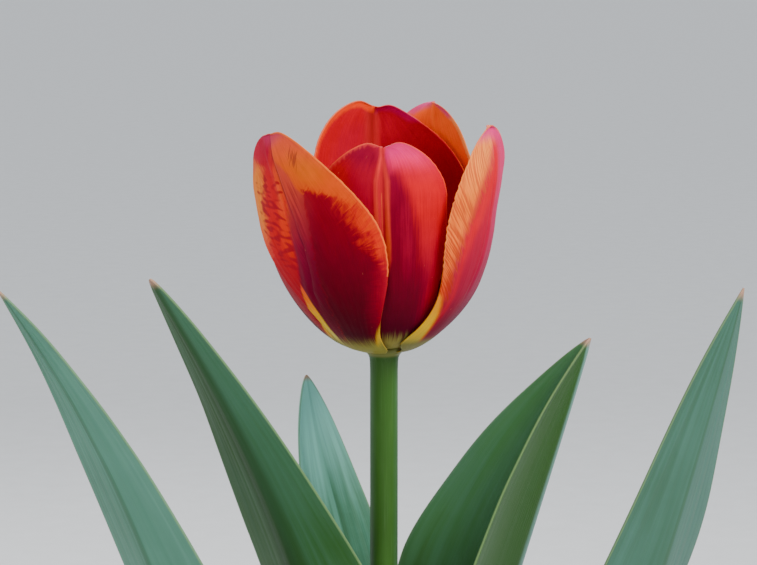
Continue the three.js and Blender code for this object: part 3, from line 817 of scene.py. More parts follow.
INNER_LAYERS = {
    "petal_back_right": [
        [(0.35, (0.26, 0, 0.006)), (0.6, (0.36, 0, 0.006)), (0.78, (0.56, 0.008, 0))],
        layer("in_glow", [(0.75, (0.82, 0.035, 0)), (0.9, (1, 0.13, 0.008))], 3, veins=3),
        layer("in_rim", (1, 0.32, 0.08), 0.6, combs=1),
        layer("in_tip", (0.7, 0.06, 0.2), 0.8),
        *INNER[2:],
    ],
    "petal_back": [
        [(0.35, (0.26, 0, 0.006)), (0.7, (0.5, 0, 0.01)), (0.9, (0.52, 0, 0.012))],
        layer("in_heart", (0.46, 0.001, 0.026), 2.5, veins=6, strength=0.6),
        layer("in_streak", (0.42, 0.022, 0.02), 1.2, veins=1.5, strength=0.6),
        # painted shade: darker red on the inner right lobe
        layer("in_dark", [(0.7, (0.24, 0, 0.008)), (0.82, (0.34, 0, 0.01)), (0.92, (0.5, 0, 0.016))], 1.6,
              veins=1.5),
        layer("in_rim", (0.84, 0.045, 0.002), 0.7, combs=1),
        layer("in_lobe", (0.58, 0.002, 0.11), 1, veins=1),
        layer("in_line", (0.9, 0.2, 0.12), 0.15, strength=0.7),
        *INNER[2:],
    ],
}
PLAIN_INNER = [[(0.3, (0.36, 0, 0.006)), (0.7, (0.62, 0.003, 0.008)), (0.95, (0.7, 0.03, 0.01))], *INNER]

# %% Petal finish
def painted(f, layers, patterns):
    """The layers' colours, each mixed over those below it."""
    def shade(stops):
        if isinstance(stops, tuple):
            return (*stops, 1)
        return f.node("ValToRGB", {"stops": [(at, (*c, 1)) for at, c in stops]}, {"Fac": patterns["along"]})

    colour = shade(layers[0])
    for zone, stops, soft, strength, ragged in layers[1:]:
        height = f.field(zone)
        for pattern, reach in ragged.items():
            height = height + (patterns[pattern] - 0.5) * reach
        colour = f.mix(f.step(-soft, soft, height) * strength, colour, shade(stops))
    return colour


def petal_finish(name, seed):
    f = Finish(name + "_satin", Subsurface_Weight=0.1, Subsurface_Radius=(1.0, 0.2, 0.1),
               Subsurface_Scale=0.0008, IOR=1.4, Specular_IOR_Level=0.06)
    along, lane, edge, inside = (f.field(x) for x in ("along", "lane", "edge", "inside"))
    run = abs(f.field("run")) + edge * 0.25
    combs = f.noise(f.vector(run * 1.1, edge * 0.22, seed), detail=2, roughness=0.55)
    fine = f.noise(f.vector(run * 1.9, edge * 0.1, seed + 4.0), detail=1)
    veins = f.noise(f.vector(lane * 1.7, along * 4, seed + 9.0), detail=3, roughness=0.55)
    hairs = f.noise(f.vector(lane * 4.5, along * 6, seed + 2.0), detail=2)
    mottle = f.grain(330, detail=3)
    cross = f.noise(f.vector(along * 95 + lane * 1.5, lane * 0.12, seed + 6.0), detail=0)
    dashes = f.noise(f.vector(along * 62 + lane * 0.06, lane * 0.29, seed + 12.0), detail=0)
    patterns = {"along": along, "combs": combs, "fine": fine, "veins": veins, "cross": cross,
                "dashes": dashes}
    outer = painted(f, LAYERS[name], patterns)
    inner = painted(f, INNER_LAYERS.get(name, PLAIN_INNER), patterns)
    colour = f.mix(f.step(0.4, 0.6, inside), outer, inner)
    # fine lines along the petal, darker and paler by turns, and a few pale nicks
    lined = f.node("HueSaturation", inputs={
        "Color": colour, "Value": 1 + (hairs - 0.5) * 0.5 + (mottle - 0.5) * 0.25, "Fac": 1.0})
    nicks = f.step(0.79, 0.82, f.noise(f.vector(lane * 1.6, along * 26, seed + 30.0), detail=1))
    colour = f.mix(nicks * 0.5, lined, (0.85, 0.25, 0.12, 1))
    relief = veins * 0.4 + hairs * 0.3 + fine * 0.3 * (1 - f.step(2, 8, edge)) + mottle * 0.15
    f.paint(Base_Color=colour, Roughness=0.42 + veins * 0.16, Normal=f.bump(relief, 0.00016, 0.5))
    return f


# %% Make the petals
for seed, name in enumerate(PETALS, start=1):
    settle(petal_piece(name, seed), "petal", petal_finish(name, float(seed)), name)


# %% [markdown]
# ## The leaves
#
# A tulip's leaf wraps the stem at its foot, opens into a channel folded about its keel, and closes in a
# long point. Its veins are parallel and follow the margins. It is set on a grid as the petals are: up
# the keel one way, and across the fold the other. The sizes are those of the solid leaves.

# %% The five leaves, with the sizes of their solids
LEAVES = {
    "leaf_front_left": {
        "azimuth": (-49, -58), "foot_z": 128, "tip": (68.4, 316.7), "lean": (4.3, 32.7), "width": 20.6,
        "peak": 0.52, "blunt": 1.06, "point": 0.68, "fold": (60, 13), "roll": (17.4, 8.7)},
    "leaf_right": {
        "azimuth": (114, 103.8), "foot_z": 118, "tip": (56.5, 294), "lean": (14.7, 16.7), "width": 34,
        "peak": 0.61, "blunt": 1.65, "point": 0.88, "fold": (70, 60.6), "roll": (0.5, -1.7)},
    "leaf_back": {
        "azimuth": (-178, -150.5), "foot_z": 138, "tip": (43.2, 279.9), "lean": (3.3, 15.8), "width": 11.5,
        "peak": 0.44, "blunt": 2.56, "point": 0.73, "fold": (60, 14), "roll": (0, 0)},
    "leaf_far_left": {
        "azimuth": (-62, -59.1), "foot_z": 108, "tip": (108.4, 316.7), "lean": (35.4, 37.5), "width": 19,
        "peak": 0.49, "blunt": 1.7, "point": 1, "fold": (60, 12), "roll": (12, 18.6)},
    "leaf_far_right": {
        "azimuth": (74, 87.3), "foot_z": 106, "tip": (93.1, 310), "lean": (39.7, 14.5), "width": 22.5,
        "peak": 0.51, "blunt": 2.15, "point": 1, "fold": (60, 14), "roll": (-14.9, -39.8)},
}
STEM_FOOT_RADIUS = 4.2
LEAF_FOOT = {"share": 0.33, "waist": 2, "max_wrap": 68, "clasp": 0.24}
LEAF_BEND = 0.36  # how much of the keel's length keeps the lean of each end
LEAF_OFF_STEM = 0.95  # from the stem's surface to the middle of the sheath
LEAF_WAVES = {"height": 0.5, "length": 0.16}  # in mm, and as a share of the leaf's length
LEAF_RIBS = {"height": 0.07, "pitch": 1.5}  # in mm
LEAF_GRID = {"along": 150, "across": 56, "crowding": 1.4, "last": 0.9995}
LEAF_THICKNESS, LEAF_MARGIN = 1.0, 0.55  # in mm, and the share of it left at the margin


def crease(u):
    soft = 0.12
    return (np.hypot(u, soft) - soft) / (math.hypot(1, soft) - soft)


def unit(vectors):
    return vectors / np.linalg.norm(vectors, axis=-1, keepdims=True)


def leaf_points(leaf, t, u, seed):
    foot = np.array([STEM_FOOT_RADIUS + LEAF_OFF_STEM, leaf["foot_z"]])
    tip = np.array(leaf["tip"], float)
    handles = [np.array([math.sin(math.radians(a)), math.cos(math.radians(a))]) for a in leaf["lean"]]
    reach = LEAF_BEND * np.linalg.norm(tip - foot)
    keel = [foot, foot + reach * handles[0], tip - reach * handles[1], tip]

    def azimuth(t):
        return np.radians(blended(leaf["azimuth"], smooth(0, 1, t)))

    def spine(t):
        line = bezier(keel, t)
        return polar(line[..., 0], azimuth(t), line[..., 1])

    past = np.maximum(t - leaf["peak"], 0) / (1 - leaf["peak"])
    share = rise(t, LEAF_FOOT["share"], leaf["peak"], LEAF_FOOT["waist"])
    share = share * (1 - past ** leaf["blunt"]) ** leaf["point"]
    half = leaf["width"] * share
    along = unit(spine(np.minimum(t + 0.01, 1)) - spine(np.maximum(t - 0.01, 0)))
    outward = polar(np.ones_like(t), azimuth(t), 0)
    across = unit(np.cross(along, outward))
    inward = unit(np.cross(along, across))
    roll = np.radians(blended(leaf["roll"], t))[:, None]
    fold = np.radians(blended(leaf["fold"], smooth(0, 0.8, t))) * (1 - 0.3 * np.abs(u))
    side = across * np.cos(roll) + inward * np.sin(roll)
    up = inward * np.cos(roll) - across * np.sin(roll)
    lane = u * leaf["width"]
    waves = LEAF_WAVES["height"] * wobble(t + 5 * (u > 0), seed, LEAF_WAVES["length"])
    waves = waves * smooth(0.5, 1, np.abs(u)) * smooth(0.3, 0.5, t)
    ribs = LEAF_RIBS["height"] * wobble(lane, seed + 3, LEAF_RIBS["pitch"]) * smooth(0.1, 0.3, t)
    height = crease(u) * half * np.sin(fold) + (waves + ribs) * (1 - smooth(0.9, 1, t))
    channel = spine(t) + side * (u * half * np.cos(fold))[:, None] + up * height[:, None]
    line = bezier(keel, t)
    wrap = np.minimum(half / line[:, 0], math.radians(LEAF_FOOT["max_wrap"]))
    sheath = polar(line[:, 0], azimuth(t) + u * wrap, line[:, 1])
    clasp = smooth(0, LEAF_FOOT["clasp"], t)[:, None]
    return sheath + (channel - sheath) * clasp, lane, u * half


def leaf_piece(name, seed):
    leaf = LEAVES[name]
    piece, t, u = grid_piece(name + "_blade", **LEAF_GRID)
    points, lane, across = leaf_points(leaf, t, u, seed)
    move_points(piece, points)
    edge = margin_fields(points, t, u)[0]
    for field, values in {"along": t, "lane": lane, "across": across, "edge": edge}.items():
        write_field(piece, field, values)
    thicken(piece, LEAF_THICKNESS, LEAF_MARGIN, edge)
    print(f"{name}: {np.ptp(across):.1f} mm wide")
    return piece


# %% [markdown]
# The leaf is mid green, but a blue-grey wax lies over most of it, worn into long streaks. One half of
# the blade is painted a darker green as shade and the other a lighter green as lit. Veins show as fine
# lines along it, the keel is painted darker as shade on some leaves and paler as a highlight on others,
# the very margin is a thin pale line, and the point is a little brown. Every leaf starts from one look
# and changes what differs.

# %% Leaf finish
LEAF_LOOK = {
    # left is the blade's half in painted shade and right its half in painted light
    "left": (0.03, 0.09, 0.02), "right": (0.045, 0.13, 0.055), "low": (0.03, 0.1, 0.016),
    "low_end": (0.4, 0.75), "wax": (0.07, 0.18, 0.11), "cover": (0.2, 0.45), "keel": (0.02, 0.06, 0.012),
    "keel_light_and_shade_reach": 1.8, "keel_light_and_shade_cover": 0.4}
LEAF_LOOKS = {
    "leaf_front_left": {"left": (0.024, 0.078, 0.014), "right": (0.05, 0.15, 0.07),
                        "low": (0.026, 0.1, 0.012), "low_end": (0.5, 0.85), "keel": (0.022, 0.066, 0.014),
                        "keel_light_and_shade_reach": 8, "keel_light_and_shade_cover": 0.75},
    "leaf_right": {"left": (0.02, 0.076, 0.006), "right": (0.045, 0.15, 0.04), "low": (0.022, 0.08, 0.01),
                   "cover": (0.02, 0.45), "keel": (0.15, 0.3, 0.26), "keel_light_and_shade_reach": 7, "keel_light_and_shade_cover": 0.85},
    "leaf_back": {"left": (0.24, 0.6, 0.52), "right": (0.24, 0.62, 0.54), "low": (0.035, 0.12, 0.06),
                  "low_end": (0.72, 0.95), "wax": (0.2, 0.54, 0.44), "cover": (0.2, 0.3),
                  "keel": (0.12, 0.36, 0.28)},
    "leaf_far_left": {"left": (0.055, 0.16, 0.1), "right": (0.075, 0.21, 0.14), "low": (0.06, 0.18, 0.11),
                      "wax": (0.11, 0.28, 0.2), "cover": (0.6, 0.7)},
    "leaf_far_right": {"left": (0.036, 0.1, 0.06), "right": (0.04, 0.115, 0.08), "low": (0.03, 0.1, 0.055),
                       "wax": (0.06, 0.16, 0.12), "cover": (0.6, 0.6)},
}


def leaf_finish(name, seed):
    look = {**LEAF_LOOK, **LEAF_LOOKS[name]}
    left, right, low, wax, dark = ((*look[key], 1) for key in ("left", "right", "low", "wax", "keel"))
    f = Finish(name + "_waxed", Subsurface_Weight=0.08, Subsurface_Radius=(0.4, 1.0, 0.2),
               Subsurface_Scale=0.001, Sheen_Weight=0.04, Sheen_Roughness=0.5,
               Sheen_Tint=(0.8, 0.95, 1.0, 1), IOR=1.4, Specular_IOR_Level=0.2)
    along, lane, across, edge = (f.field(x) for x in ("along", "lane", "across", "edge"))
    veins = f.noise(f.vector(lane * 2.0, along * 6, seed), detail=3, roughness=0.6)
    bands = f.noise(f.vector(lane * 0.3, along * 3, seed + 5.0), detail=2)
    cloud = f.grain(45, detail=3)
    mottle = f.grain(420, detail=3)
    # painted shade and light: side runs from the darker, shaded half of the blade to the lighter, lit half
    side = f.step(-1.2, 1.2, across + (veins - 0.5) * 2)
    green = f.mix(f.step(*look["low_end"], along + (bands - 0.5) * 0.2), low, f.mix(side, left, right))
    green = f.mix(f.step(0.5, 0.75, veins) * 0.25, green, f.mix(0.6, green, (0.01, 0.03, 0.006, 1)))
    cover = look["cover"][0] + side * (look["cover"][1] - look["cover"][0])
    patches = f.step(0.35, 0.65, bands * 0.5 + cloud * 0.35 + veins * 0.15) * cover
    colour = f.mix(patches + f.step(0.5, 0.9, mottle) * 0.06, green, wax)
    # painted shade in the valley along the keel on most leaves, and a painted highlight on the right leaf's
    # keel
    reach = (1.15 - along) * (look["keel_light_and_shade_reach"] / 0.65)
    keel = 1 - f.step(0.35, 1, (abs(across) + (veins - 0.5)) * (1.0 / reach))
    colour = f.mix(keel * look["keel_light_and_shade_cover"], colour, dark)
    margin = 1 - f.step(0.1, 0.5, edge)
    colour = f.mix(margin * 0.55, colour, (0.16, 0.25, 0.1, 1))
    tip = f.step(0.984, 0.997, along + (cloud - 0.5) * 0.01)
    colour = f.mix(tip * 0.85, colour, (0.46, 0.24, 0.17, 1))
    foot = 1 - f.step(0.02, 0.2, along)
    colour = f.mix(foot * 0.6, colour, (0.3, 0.38, 0.17, 1))
    relief = veins * 0.7 + mottle * 0.15 + bands * 0.2
    f.paint(Base_Color=colour, Roughness=0.48 + patches * 0.15 + veins * 0.08,
            Normal=f.bump(relief, 0.00025, 0.5))
    return f


# %% Make the leaves
for seed, name in enumerate(LEAVES, start=21):
    settle(leaf_piece(name, seed), "leaf", leaf_finish(name, float(seed)), name)


# %% [markdown]
# ## The stem
#
# The stem is a straight, smooth stalk, a little thicker at its foot. It is turned from an outline, as
# the pot will be. On top it widens to the receptacle, which swells a little more between the feet of
# the two front petals. Its green pales towards the foot, is painted paler at the sides as a waxy sheen,
# is painted darker just under the bloom as the bloom's shadow, and turns yellowish on the receptacle.

# %% Stem
BULB = {"bottom": 22, "height": 42, "radius": 19, "neck": 4.4}
GAP = 0.3  # left between two solids that touch
STEM_RADIUS = 3.65
SWELLING = {  # in degrees and mm
    "azimuth": 44, "spread": 22, "outward": 0.8, "upward": 0.9, "from_z": 292.4, "rise": 0.8,
    "from_radius": 3.5}
stem_foot = BULB["bottom"] + BULB["height"] + GAP


def stem_radius(z):
    return blended((STEM_FOOT_RADIUS, STEM_RADIUS), float(smooth(100, 200, z)))


stem_levels = (stem_foot, 80, 100, 125, 150, 175, 200, 240, 288)
stem_outline = [(0, stem_foot)] + [(stem_radius(z), z) for z in stem_levels]
stem_outline += [(3.72, 290), (3.85, 291), (4.1, 291.7), (4.5, 292.2), (4.9, 292.7), (4.9, 293.2),
                 (4.4, 293.8), (2.3, 293.9), (2.2, 294.9), (0, 295)]
stem = turned("stalk", stem_outline, sides=64)
for vertex in stem.data.vertices:
    radius, z = math.hypot(vertex.co.x, vertex.co.y) / MM, vertex.co.z / MM
    if z > SWELLING["from_z"] and radius > SWELLING["from_radius"]:
        azimuth = math.degrees(math.atan2(vertex.co.x, -vertex.co.y))
        swell = math.exp(-((azimuth - SWELLING["azimuth"]) / SWELLING["spread"]) ** 2)
        wider = 1 + SWELLING["outward"] * swell / radius
        vertex.co.x *= wider
        vertex.co.y *= wider
        vertex.co.z += SWELLING["upward"] * swell * min((z - SWELLING["from_z"]) / SWELLING["rise"], 1) * MM

f = Finish("stem_waxed", Subsurface_Weight=0.1, Subsurface_Radius=(0.4, 1.0, 0.2), Subsurface_Scale=0.002,
           Sheen_Weight=0.08, Sheen_Roughness=0.5, Sheen_Tint=(0.85, 0.95, 1.0, 1), IOR=1.4,
           Specular_IOR_Level=0.25)
fibres = f.drawn_out((2600, 2600, 60), detail=3, roughness=0.6)
cloud = f.drawn_out((200, 200, 30), detail=3)
fine = f.grain(900, detail=2)
sideways = f.axis("X")
height = f.axis("Z")
green = f.mix(f.step(0.35, 0.7, cloud), (0.028, 0.088, 0.008, 1), (0.042, 0.125, 0.014, 1))
# painted sheen: the stalk is paler towards its sides, where the light grazes the wax
green = f.mix(f.step(0.0018, 0.0036, abs(sideways) + (fibres - 0.5) * 0.0008) * 0.4, green,
              (0.055, 0.14, 0.065, 1))
# painted shadow: the stalk is darker just under the bloom
green = f.mix(f.step(0.282, 0.2905, height) * 0.5, green, (0.025, 0.07, 0.008, 1))
green = f.mix(f.step(0.2912, 0.2922, height) * 0.9, green, (0.17, 0.165, 0.04, 1))
green = f.mix((1 - f.step(0.1, 0.125, height)) * 0.8, green, (0.25, 0.28, 0.13, 1))
green = f.mix(f.step(0.5, 0.75, fibres) * 0.25, green, (0.08, 0.17, 0.06, 1))
f.paint(Base_Color=green, Roughness=0.42 + fibres * 0.12,
        Normal=f.bump(fibres * 0.7 + fine * 0.3, 0.00015, 0.4))
settle(stem, "stem", f, "stem")


# %% [markdown]
# ## The pistil and the stamens
#
# Inside the cup stand a pale green ovary with a three-lobed stigma and six stamens, each a tapering
# filament with a long dusty anther. The ovary is turned and then drawn out into three rounded sides.
# One stigma lobe and one stamen are modelled, and the rest are copies turned about the axis.

# %% Turned copies
def copies_about_axis(piece, count, first=0.0):
    """The piece and its copies, each with its own mesh, evenly spaced about the bloom's axis."""
    made = [piece] + [piece.copy() for _ in range(count - 1)]
    for number, copy in enumerate(made):
        if number:
            copy.data = piece.data.copy()
            bpy.context.scene.collection.objects.link(copy)
    for number, copy in enumerate(made):
        copy.data.transform(Matrix.Rotation(math.radians(first + number * 360 / count), 4, "Z"))
    return made


# %% Pistil
ovary = turned("ovary", [
    (0, BLOOM_Z + 2.35), (2.2, BLOOM_Z + 2.35), (2.7, BLOOM_Z + 3.6), (3.05, BLOOM_Z + 7),
    (3.0, BLOOM_Z + 13), (2.7, BLOOM_Z + 18), (2.35, BLOOM_Z + 20.2), (2.6, BLOOM_Z + 21.4),
    (2.2, BLOOM_Z + 22.4), (0, BLOOM_Z + 22.6)], sides=48)
for vertex in ovary.data.vertices:
    lobe = 1 + 0.09 * (math.cos(3 * math.atan2(vertex.co.x, -vertex.co.y)) - 1)
    vertex.co.x *= lobe
    vertex.co.y *= lobe

clear_selection()
bpy.ops.mesh.primitive_uv_sphere_add(segments=28, ring_count=18, radius=1)
lobe = added("stigma_lobe")
for vertex in lobe.data.vertices:
    x, y, z = vertex.co
    furrow = 0.5 * math.exp(-((x / 0.22) ** 2)) * max(z, 0)
    vertex.co = Vector((x * 1.35, -2.6 + y * 2.0,
                        BLOOM_Z + 22.9 + (z - furrow) * 1.1 - 0.35 * (y + 0.4) ** 2)) * MM
pistil = joined("pistil_whole", [ovary, *copies_about_axis(lobe, 3)])
bpy.ops.object.shade_smooth()

f = Finish("pistil_skin", Subsurface_Weight=0.15, Subsurface_Radius=(0.8, 1.0, 0.3), Subsurface_Scale=0.002)
height = f.axis("Z")
grain = f.grain(700, detail=3)
colour = f.mix(f.step(0.35, 0.7, grain), srgb(168, 182, 96), srgb(196, 204, 128))
colour = f.mix(f.step(0.3148, 0.3158, height + (grain - 0.5) * 0.001), colour, srgb(236, 214, 130))
f.paint(Base_Color=colour, Roughness=0.45 + grain * 0.2, Normal=f.bump(grain, 0.0002, 0.5))
settle(pistil, "pistil", f, "pistil")

# %% Stamens
filament = turned("filament", [(0, 0), (0.75, 0), (1.05, 2.4), (0.85, 6), (0.5, 9.6), (0.35, 10.2),
                               (0, 10.3)], sides=20)
clear_selection()
bpy.ops.mesh.primitive_uv_sphere_add(segments=32, ring_count=26, radius=1)
anther = added("anther")
for vertex in anther.data.vertices:
    x, y, z = vertex.co
    angle = math.atan2(y, x)
    girth = 1.35 * (1 - 0.26 * abs(math.cos(angle)) ** 6 - 0.12 * abs(math.sin(angle)) ** 10)
    vertex.co = Vector((x * girth, y * girth, 15.2 + z * 5.4)) * MM
stamen = joined("stamen", [filament, anther])
stamen.data.transform(Matrix.Translation(Vector((0, -3.7, BLOOM_Z + 2.5)) * MM)
                      @ Matrix.Rotation(math.radians(14.5), 4, "X"))
ring = turned("ring", [
    (3.1, BLOOM_Z + 2.2), (4.2, BLOOM_Z + 2.2), (4.2, BLOOM_Z + 3.3), (3.1, BLOOM_Z + 3.3),
    (3.1, BLOOM_Z + 2.2)], sides=48)
stamens = joined("stamens_whole", [ring, *copies_about_axis(stamen, 6, first=30)])
bpy.ops.object.shade_smooth_by_angle(angle=math.radians(50))

f = Finish("stamen_dust", Roughness=0.8, Sheen_Weight=0.3)
height = f.axis("Z")
pollen = f.grain(2600, detail=3)
colour = f.mix(f.step(0.3, 0.7, pollen), srgb(34, 20, 44), srgb(66, 48, 70))
filament_colour = f.mix(f.step(0.2975, 0.304, height), srgb(206, 196, 96), srgb(52, 26, 44))
colour = f.mix(f.step(0.3045, 0.3062, height), filament_colour, colour)
f.paint(Base_Color=colour, Roughness=0.7 + pollen * 0.3, Normal=f.bump(pollen, 0.0002, 0.8))
settle(stamens, "stamens", f, "stamens")


# %% [markdown]
# ## The pot
#
# A clay pot is thrown or pressed as one turned shape with a thick rim. So it is turned here too, from
# its drain hole out and up over the lip, down the inside and back to the hole, and a small bevel
# softens each edge. Unglazed clay is matt and never even: it is darker where damp, bloomed with white
# salts, and carries faint rings from the wheel.

# %% Pot
POT = {"height": 115, "foot": 44, "wall_top": 57.5, "rim_z": 91, "rim_foot": 62, "rim": 65,
       "wall": 6, "floor": 9, "drain": 7, "edge": 2}


def pot_inner(z):
    return blended((POT["foot"], POT["wall_top"]), z / POT["rim_z"]) - POT["wall"]


pot_outline = [
    (POT["drain"], 0), (POT["foot"] - POT["edge"], 0), (POT["foot"], POT["edge"]),
    (POT["wall_top"], POT["rim_z"]), (POT["rim_foot"], POT["rim_z"] + 1),
    (POT["rim"], POT["height"] - POT["edge"]), (POT["rim"] - POT["edge"], POT["height"]),
    (pot_inner(POT["height"]) + POT["edge"], POT["height"]),
    (pot_inner(POT["height"]), POT["height"] - POT["edge"]),
    (pot_inner(POT["floor"]), POT["floor"]), (POT["drain"], POT["floor"]), (POT["drain"], 0),
]
pot = turned("clay_pot", pot_outline, sides=144)
bevel = pot.modifiers.new("soft_edges", "BEVEL")
bevel.width, bevel.segments, bevel.limit_method, bevel.angle_limit = 1.1 * MM, 4, "ANGLE", math.radians(20)
apply_modifiers(pot)
bpy.ops.object.shade_smooth_by_angle(angle=math.radians(35))

f = Finish("terracotta", IOR=1.45)
height = f.axis("Z")
grit = f.grain(1400, detail=4, roughness=0.7)
cloud = f.grain(22, detail=4)
patch = f.grain(9, detail=5, roughness=0.6)
rings = f.drawn_out((3, 3, 420), detail=2)
clay = f.mix(f.step(0.3, 0.7, cloud), srgb(176, 98, 62), srgb(198, 122, 84))
clay = f.mix(f.step(0.45, 0.75, grit) * 0.35, clay, srgb(142, 76, 48))
damp = 1 - f.step(0.02, 0.055, height + (patch - 0.5) * 0.05)
clay = f.mix(damp * 0.55, clay, srgb(120, 66, 44))
salts = f.step(0.56, 0.68, patch + (grit - 0.5) * 0.2) * f.step(0.03, 0.07, height)
clay = f.mix(salts * 0.45, clay, srgb(222, 200, 182))
f.paint(Base_Color=clay, Roughness=0.82 + grit * 0.15 - damp * 0.12,
        Normal=f.bump(grit * 0.5 + rings * 0.7 + cloud * 0.2, 0.0005, 0.6))
settle(pot, "pot", f, "pot")


# %% [markdown]
# ## The soil
#
# Potting compost is a heap of dark crumbs with pale grains of perlite and bits of fibre. The body of
# the soil is turned, with a cavity for the bulb, and its top is roughened with noise. Crumbs, grains
# and fibres are a few small shapes, copied with their own meshes, turned and scaled by a seeded draw,
# and dropped on the surface.

# %% Soil body
SOIL = {"low": 9.3, "edge_z": 101, "peak_z": 103.5, "hole": 4.6, "hole_foot": 66, "step": 0.9}
BULB_ROOM = 0.75  # between the bulb and the soil that packs it


def soil_top(radius):
    """Height of the soil's surface: a low heap around the stem."""
    wide = pot_inner(SOIL["edge_z"])
    heights = [SOIL["peak_z"], 103.1, 101.8, SOIL["edge_z"]]
    return float(np.interp(radius, [SOIL["hole"], 0.45 * wide, 0.8 * wide, wide], heights))


SWELL = [(0, 0.32), (0.06, 0.62), (0.2, 0.92), (0.36, 1), (0.52, 0.92), (0.7, 0.66), (0.85, 0.36)]
cavity = [(BULB["radius"] * w + BULB_ROOM, BULB["bottom"] + s * BULB["height"]) for s, w in SWELL]
cavity[0] = (cavity[0][0], BULB["bottom"] - GAP)
cavity.append((BULB["neck"] + BULB_ROOM, BULB["bottom"] + BULB["height"]))
mouth = pot_inner(SOIL["edge_z"]) - GAP
rings = [mouth - SOIL["step"] * k for k in range(int((mouth - SOIL["hole"]) / SOIL["step"]))]
soil_outline = [(0, SOIL["low"]), (pot_inner(SOIL["low"]) - GAP, SOIL["low"])]
soil_outline += [(radius, soil_top(radius)) for radius in rings]
soil_outline += [(SOIL["hole"], SOIL["peak_z"]), (SOIL["hole"], SOIL["hole_foot"])]
soil_outline += [*reversed(cavity), (0, BULB["bottom"] - GAP)]
soil = turned("compost", soil_outline, sides=160)
for vertex in soil.data.vertices:
    radius, z = vertex.co.xy.length / MM, vertex.co.z / MM
    if z > 99 and 4.7 < radius < mouth - 0.3:
        spot = Vector(vertex.co) / MM
        lumps = 0.9 * noise.noise(spot / 5) + 0.55 * noise.noise(spot / 2.1) + 0.3 * noise.noise(spot / 0.9)
        by_the_stem = min(1, (radius - SOIL["hole"]) / 2)
        by_the_wall = min(1, (mouth - radius) / 1.5)
        vertex.co.z += (lumps - 0.3) * MM * by_the_stem * by_the_wall
pick(soil)
bpy.ops.object.shade_smooth_by_angle(angle=math.radians(60))

f = Finish("compost", Sheen_Weight=0.05)
crumbs = f.grain(900, detail=4, roughness=0.7)
lumps = f.grain(140, detail=4)
dirt = f.mix(f.step(0.3, 0.7, crumbs), srgb(34, 24, 17), srgb(72, 52, 38))
dirt = f.mix(f.step(0.45, 0.7, lumps) * 0.5, dirt, srgb(48, 34, 24))
f.paint(Base_Color=dirt, Roughness=0.85 + crumbs * 0.15, Normal=f.bump(crumbs + lumps * 0.6, 0.0008, 0.9))
settle(soil, "soil", f, "soil")

# %% Crumbs, perlite and fibres on the soil
random.seed(41)


def lump(name, roundness, seed):
    """One rough grain about 1 mm across."""
    clear_selection()
    bpy.ops.mesh.primitive_ico_sphere_add(subdivisions=2, radius=0.5)
    grain = added(name)
    for vertex in grain.data.vertices:
        vertex.co *= 1 + (1 - roundness) * noise.noise(vertex.co * 2.3 + Vector((seed, 0, seed)))
    return grain


def scattered(name, shapes, count, size, flatness, sink):
    """Copies of the shapes, each with its own mesh, dropped on the soil."""
    made = []
    for number in range(count):
        copy = shapes[number % len(shapes)].copy()
        copy.data = copy.data.copy()
        bpy.context.scene.collection.objects.link(copy)
        radius = math.sqrt(random.uniform(6.5 ** 2, (mouth - 2.2) ** 2))
        angle = random.uniform(0, 2 * math.pi)
        across = random.uniform(*size)
        scale = Matrix.Diagonal((across, across * random.uniform(0.6, 1), across * flatness, 1))
        spin = Matrix.Rotation(random.uniform(0, 6.3), 4, "Z")
        turn = spin @ Matrix.Rotation(random.uniform(-0.7, 0.7), 4, "X")
        spot = Vector((radius * math.cos(angle), radius * math.sin(angle),
                       soil_top(radius) - 0.2 + sink * across))
        copy.data.transform(Matrix.Translation(spot * MM) @ turn @ scale @ Matrix.Scale(MM, 4))
        made.append(copy)
    whole = joined(name, made)
    for shape in shapes:
        bpy.data.objects.remove(shape)
    bpy.ops.object.shade_flat()
    return whole


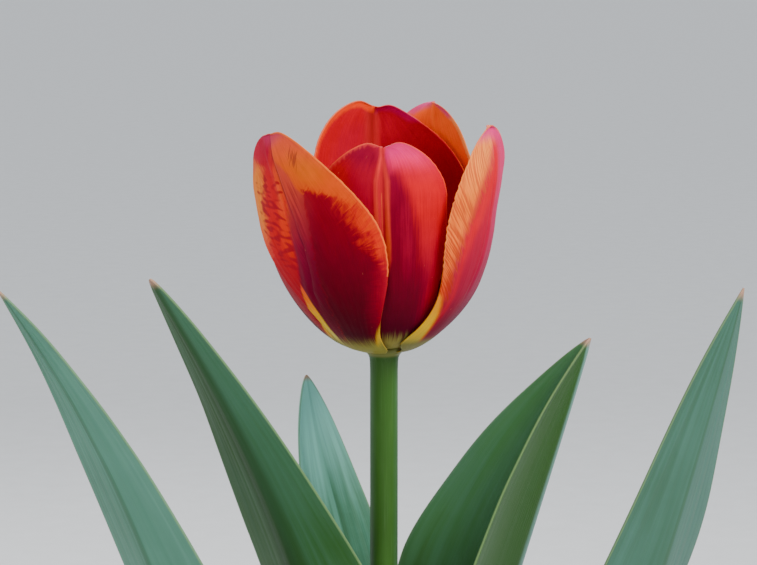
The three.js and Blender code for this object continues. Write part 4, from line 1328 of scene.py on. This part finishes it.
crumb_shapes = [lump(f"crumb_{k}", 0.15, k * 3.7) for k in range(5)]
crumb_pile = scattered("soil_crumbs", crumb_shapes, 900, (1.0, 3.4), 0.7, 0.12)
f = Finish("crumb", Roughness=0.95)
grain = f.grain(1100, detail=4, roughness=0.7)
shade = f.grain(230, detail=1)
colour = f.mix(f.step(0.35, 0.65, shade), srgb(40, 28, 20), srgb(92, 66, 46))
colour = f.mix(f.step(0.4, 0.7, grain) * 0.5, colour, srgb(28, 20, 15))
f.paint(Base_Color=colour, Normal=f.bump(grain, 0.0005, 0.8))
settle(crumb_pile, "soil", f)

perlite_shapes = [lump(f"perlite_{k}", 0.5, 20 + k * 3.1) for k in range(4)]
perlite = scattered("soil_perlite", perlite_shapes, 70, (0.8, 2.1), 0.85, 0.2)
f = Finish("perlite", Roughness=0.8, Subsurface_Weight=0.2, Subsurface_Scale=0.001)
grain = f.grain(2400, detail=3)
f.paint(Base_Color=f.mix(grain, srgb(196, 190, 180), srgb(232, 230, 224)),
        Normal=f.bump(grain, 0.0003, 0.6))
settle(perlite, "soil", f)

clear_selection()
bpy.ops.mesh.primitive_cylinder_add(vertices=6, radius=0.09, depth=1)
fibre = added("fibre")
bpy.ops.object.mode_set(mode="EDIT")
bpy.ops.mesh.select_all(action="SELECT")
bpy.ops.transform.rotate(value=math.radians(90), orient_axis="Y", center_override=(0, 0, 0))
bpy.ops.object.mode_set(mode="OBJECT")
fibres = scattered("soil_fibres", [fibre], 110, (3.0, 8.0), 0.8, 0.06)
f = Finish("fibre", Roughness=0.9)
grain = f.grain(900, detail=2)
f.paint(Base_Color=f.mix(grain, srgb(88, 62, 40), srgb(134, 102, 70)), Normal=f.bump(grain, 0.0002, 0.5))
settle(fibres, "soil", f)


# %% [markdown]
# ## The bulb
#
# The bulb lies buried, so its solid stays as it is. It still gets its own skin, papery and brown with
# veins from base to neck, in case someone lifts it out.

# %% Bulb
f = Finish("bulb_skin", Sheen_Weight=0.2)
veins = f.drawn_out((500, 500, 40), detail=4, roughness=0.6)
cloud = f.grain(60, detail=3)
skin = f.mix(f.step(0.35, 0.65, veins), srgb(120, 70, 34), srgb(168, 110, 58))
skin = f.mix(f.step(0.5, 0.75, cloud) * 0.5, skin, srgb(196, 150, 98))
f.paint(Base_Color=skin, Roughness=0.4 + veins * 0.2, Normal=f.bump(veins, 0.0004, 0.6))
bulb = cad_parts["bulb"]
bulb.data.materials.clear()
bulb.data.materials.append(f.material)
print("bulb keeps its solid")
